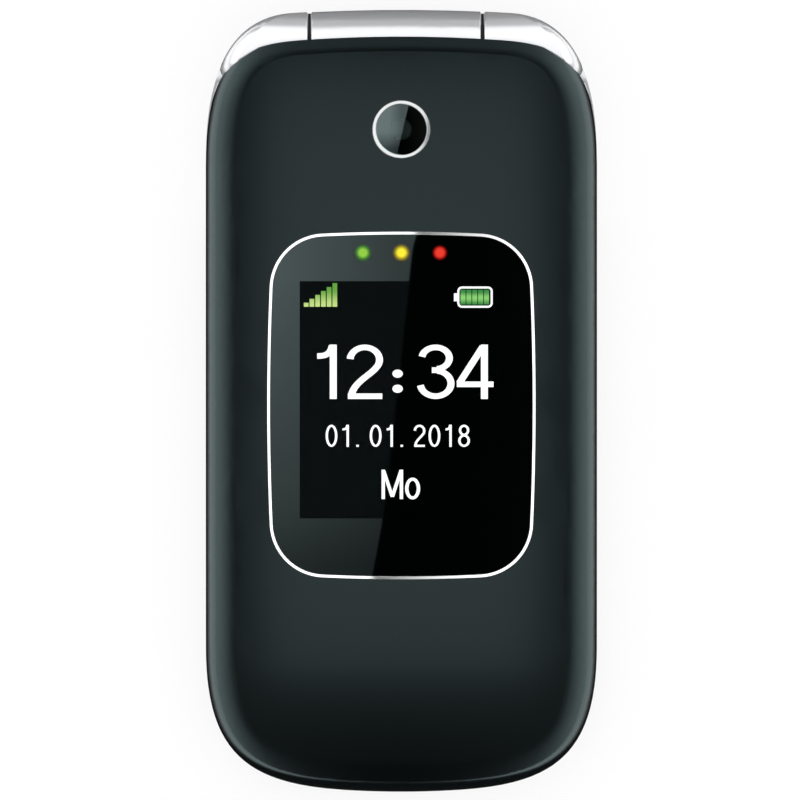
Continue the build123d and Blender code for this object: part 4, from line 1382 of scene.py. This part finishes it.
@dataclass
class Studio:
    """Pale floor, soft lights, reflecting cards and the camera."""

    floor_half: float = 8.0
    floor_z: float = -3e-5
    floor_colour: Colour = (0.86, 0.86, 0.86, 1.0)
    floor_bright: float = 1.045
    floor_seen: float = 0.8  # how much of the floor is plain white to the eye
    floor_polished: float = 0.98  # the same in reflections
    floor_beside: float = 1.36  # brightness of the floor beside the phone, in reflections
    beside_span: Point = (0.034, 0.062)
    camera_place: tuple[float, float, float] = (-0.00019, 0.00011, 2.4686)
    camera_lens: float = 800.0
    room_fill: float = 0.45
    room_sides: float = 1.1
    room_behind: float = 0.22
    glow_height: float = 0.45
    card_height: float = 0.6
    card_gap: float = 0.001
    card_reach: float = 1.5
    edge_low: Point = (-0.0200, -0.0821)
    edge_high: Point = (0.0085, 0.0393)
    glass: tuple[str, ...] = ("outer_window", "camera_window")
    screen: tuple[str, ...] = ("outer_display",)
    rings: tuple[str, ...] = ("window_bezel", "camera_ring")
    silver: tuple[str, ...] = ("base_housing", "lid_inner_housing", "volume_rocker")

    def plane(self, name: str, corners: Sequence[tuple[float, float, float]]) -> bpy.types.Object:
        """Make a flat studio surface.

        Args:
            name: Name of the surface.
            corners: Its four corners in order.

        Returns:
            The object.
        """
        mesh = bpy.data.meshes.new(name)
        mesh.from_pydata(list(corners), [], [[0, 1, 2, 3]])
        surface = place_object(name, mesh)
        return surface

    def floor(self) -> None:
        """Lay the floor, white to the eye and plain to the light, with the shadow kept."""
        corners = ((-1, -1), (1, -1), (1, 1), (-1, 1))
        reach = self.floor_half
        floor = self.plane("floor", [(x * reach, y * reach, self.floor_z) for x, y in corners])
        material, graph = blank_material("floor")
        path = graph.add("LightPath").outputs
        plain = graph.add("BsdfDiffuse", {"Color": self.floor_colour})
        direct = graph.number("MAXIMUM", path["Is Camera Ray"], path["Is Transmission Ray"])
        polished = graph.number("MULTIPLY", path["Is Glossy Ray"], self.floor_polished)
        share = graph.number("MAXIMUM", graph.number("MULTIPLY", direct, self.floor_seen), polished)
        x, _, _ = graph.position()
        off = graph.number("ABSOLUTE", x)
        beside = graph.spread(off, self.beside_span, (0.0, self.floor_beside))
        level = graph.number("MAXIMUM", beside, graph.number("MULTIPLY", direct, self.floor_bright))
        white = graph.add("Emission", {"Color": WHITE, "Strength": level})
        shown = graph.add("MixShader", {0: share, 1: plain.outputs[0], 2: white.outputs[0]})
        clear = graph.add("BsdfTransparent")
        back = graph.add("NewGeometry").outputs["Backfacing"]
        below = graph.number("MAXIMUM", back, path["Is Shadow Ray"])
        graph.show(graph.add("MixShader", {0: below, 1: shown.outputs[0], 2: clear.outputs[0]}))
        floor.data.materials.append(material)

    def world(self) -> None:
        """Light the room evenly, white to the eye and dark overhead in reflections."""
        world = bpy.data.worlds.new("room")
        bpy.context.scene.world = world
        world.use_nodes = True
        graph = Graph(world.node_tree)
        graph.tree.nodes.clear()
        path = graph.add("LightPath").outputs
        parts = graph.add("SeparateXYZ", {0: graph.add("TexCoord").outputs["Generated"]})
        sideways = graph.number("POWER", graph.number("ABSOLUTE", parts.outputs[0]), 1.7)
        behind = graph.spread(parts.outputs[1], (0.15, 0.5), (0.0, self.room_behind))
        ceiling = graph.number("MULTIPLY_ADD", sideways, self.room_sides, behind)
        mirrored = graph.number("MAXIMUM", path["Is Glossy Ray"], path["Is Transmission Ray"])
        fill = graph.number("MULTIPLY", graph.number("SUBTRACT", 1.0, mirrored), self.room_fill)
        inside = graph.number("MULTIPLY_ADD", mirrored, ceiling, fill)
        eye = path["Is Camera Ray"]
        rest = graph.number("SUBTRACT", 1.0, eye)
        level = graph.number("MULTIPLY_ADD", inside, rest, eye)
        graph.show(graph.add("Background", {"Color": WHITE, "Strength": level}), "OutputWorld")

    def lamp(self, name: str, place: Sequence[float], size: Point, radiance: float) -> bpy.types.Object:
        """Hang a soft rectangular lamp that points at the phone.

        Args:
            name: Name of the lamp.
            place: Where it hangs.
            size: Its width and length.
            radiance: Brightness of its face.

        Returns:
            The lamp's object.
        """
        data = bpy.data.lights.new(name, "AREA")
        data.shape = "RECTANGLE"
        data.size, data.size_y = size
        data.energy = radiance * math.pi * size[0] * size[1]
        lamp = place_object(name, data)
        lamp.location = place
        aim = Vector((0.0, 0.0, 0.01)) - Vector(place)
        lamp.rotation_euler = aim.to_track_quat("-Z", "Y").to_euler()
        lamp.visible_camera = False
        return lamp

    def receivers(self, name: str, nodes: Sequence[str]) -> bpy.types.Collection:
        """Gather the pieces that one lamp or card lights.

        Args:
            name: Name of the group.
            nodes: Names of the pieces.

        Returns:
            The group.
        """
        group = bpy.data.collections.new(name)
        for node in nodes:
            group.objects.link(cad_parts[node])
        return group

    def lamps(self) -> None:
        """Hang the lamps."""
        top = self.lamp("top_soft", (0.0, 0.02, 1.0), (1.3, 1.3), 1.55)
        top.visible_glossy = False
        for name, y, size, radiance, nodes in (
            ("lid_glow", -0.01275, (0.160, 0.2035), 0.46, ("lid_cover",)),
            ("silver_top", 0.05, (1.62, 1.62), 1.05, self.silver),
        ):
            lamp = self.lamp(name, (0.0, y, self.glow_height), size, radiance)
            lamp.visible_diffuse = False
            lamp.rotation_euler = (0.0, 0.0, 0.0)
            lamp.light_linking.receiver_collection = self.receivers(name + "_on", nodes)

    def card(self, card: Card, height: float) -> None:
        """Hang one card.

        Args:
            card: What it is like.
            height: How high it hangs.
        """
        low, high = Vector(self.edge_low), Vector(self.edge_high)
        along = (high - low).normalized()
        out = Vector((-along.y, along.x))
        low_end, high_end = low - along * self.card_reach, high + along * self.card_reach
        side = out * card.width
        corners = (low_end, high_end, high_end + side, low_end + side)
        surface = self.plane(card.name, [(spot.x, spot.y, height) for spot in corners])
        surface.visible_camera = False
        surface.visible_diffuse = False
        surface.visible_shadow = False
        material, graph = blank_material(card.name)
        x, y, _ = graph.position()
        off_y = graph.number("MULTIPLY", graph.number("SUBTRACT", low.y, y), out.y)
        off = graph.number("MULTIPLY_ADD", graph.number("SUBTRACT", low.x, x), out.x, off_y)
        level = graph.spread(y, card.span_y, card.along_y, smooth=False)
        for place, span, shares in ((x, card.span_x, card.across_x), (off, card.span_edge, card.from_edge)):
            level = graph.number("MULTIPLY", level, graph.spread(place, span, shares, smooth=False))
        light = graph.add("Emission", {"Color": card.colour, "Strength": level})
        clear = graph.add("BsdfTransparent")
        graph.show(graph.add("AddShader", {0: light.outputs[0], 1: clear.outputs[0]}))
        surface.data.materials.append(material)
        surface.light_linking.receiver_collection = self.receivers(card.name + "_on", card.nodes)

    def cards(self) -> None:
        """Hang cards whose straight edges are mirrored in the glass and in the bright rings."""
        for index, card in enumerate((
            Card("glass_card", 0.8, self.glass, (0.76, 1.0, 1.0, 1.0), (1.1, 4.25), (1.0, 0.49)),
            Card("screen_card", 0.8, self.screen, (0.68, 0.92, 1.0, 1.0), (0.235, 0.235)),
            Card("ring_left_card", 2.4, self.rings),
            Card("ring_right_card", -2.4, self.rings, from_edge=(0.02, 1.0)),
        )):
            self.card(card, self.card_height + self.card_gap * index)

    def camera(self) -> None:
        """Place the camera straight over the closed phone, far off behind a long lens."""
        data = bpy.data.cameras.new("camera")
        data.lens = self.camera_lens
        data.sensor_width = 36.0
        data.clip_start, data.clip_end = 0.1, 60.0
        camera = place_object("camera", data)
        camera.location = self.camera_place
        bpy.context.scene.camera = camera

    def build(self) -> None:
        """Set up the whole studio."""
        self.camera()
        self.floor()
        self.world()
        self.lamps()
        self.cards()
        bpy.context.scene.view_settings.view_transform = "Standard"
        LOG.info("set up the studio")


def main() -> None:
    """Build the classes in order and report each."""
    logging.basicConfig(level=logging.INFO, format="%(name)s: %(message)s")
    Studio().build()
    for part in (LidShell(), OuterScreen(), CameraEye(), InnerScreen(), Keypad(), BaseShell(), Hinge()):
        part.dress()
        part.build()
        LOG.info("finished %s", type(part).__name__)


if __name__ == "__main__":
    main()
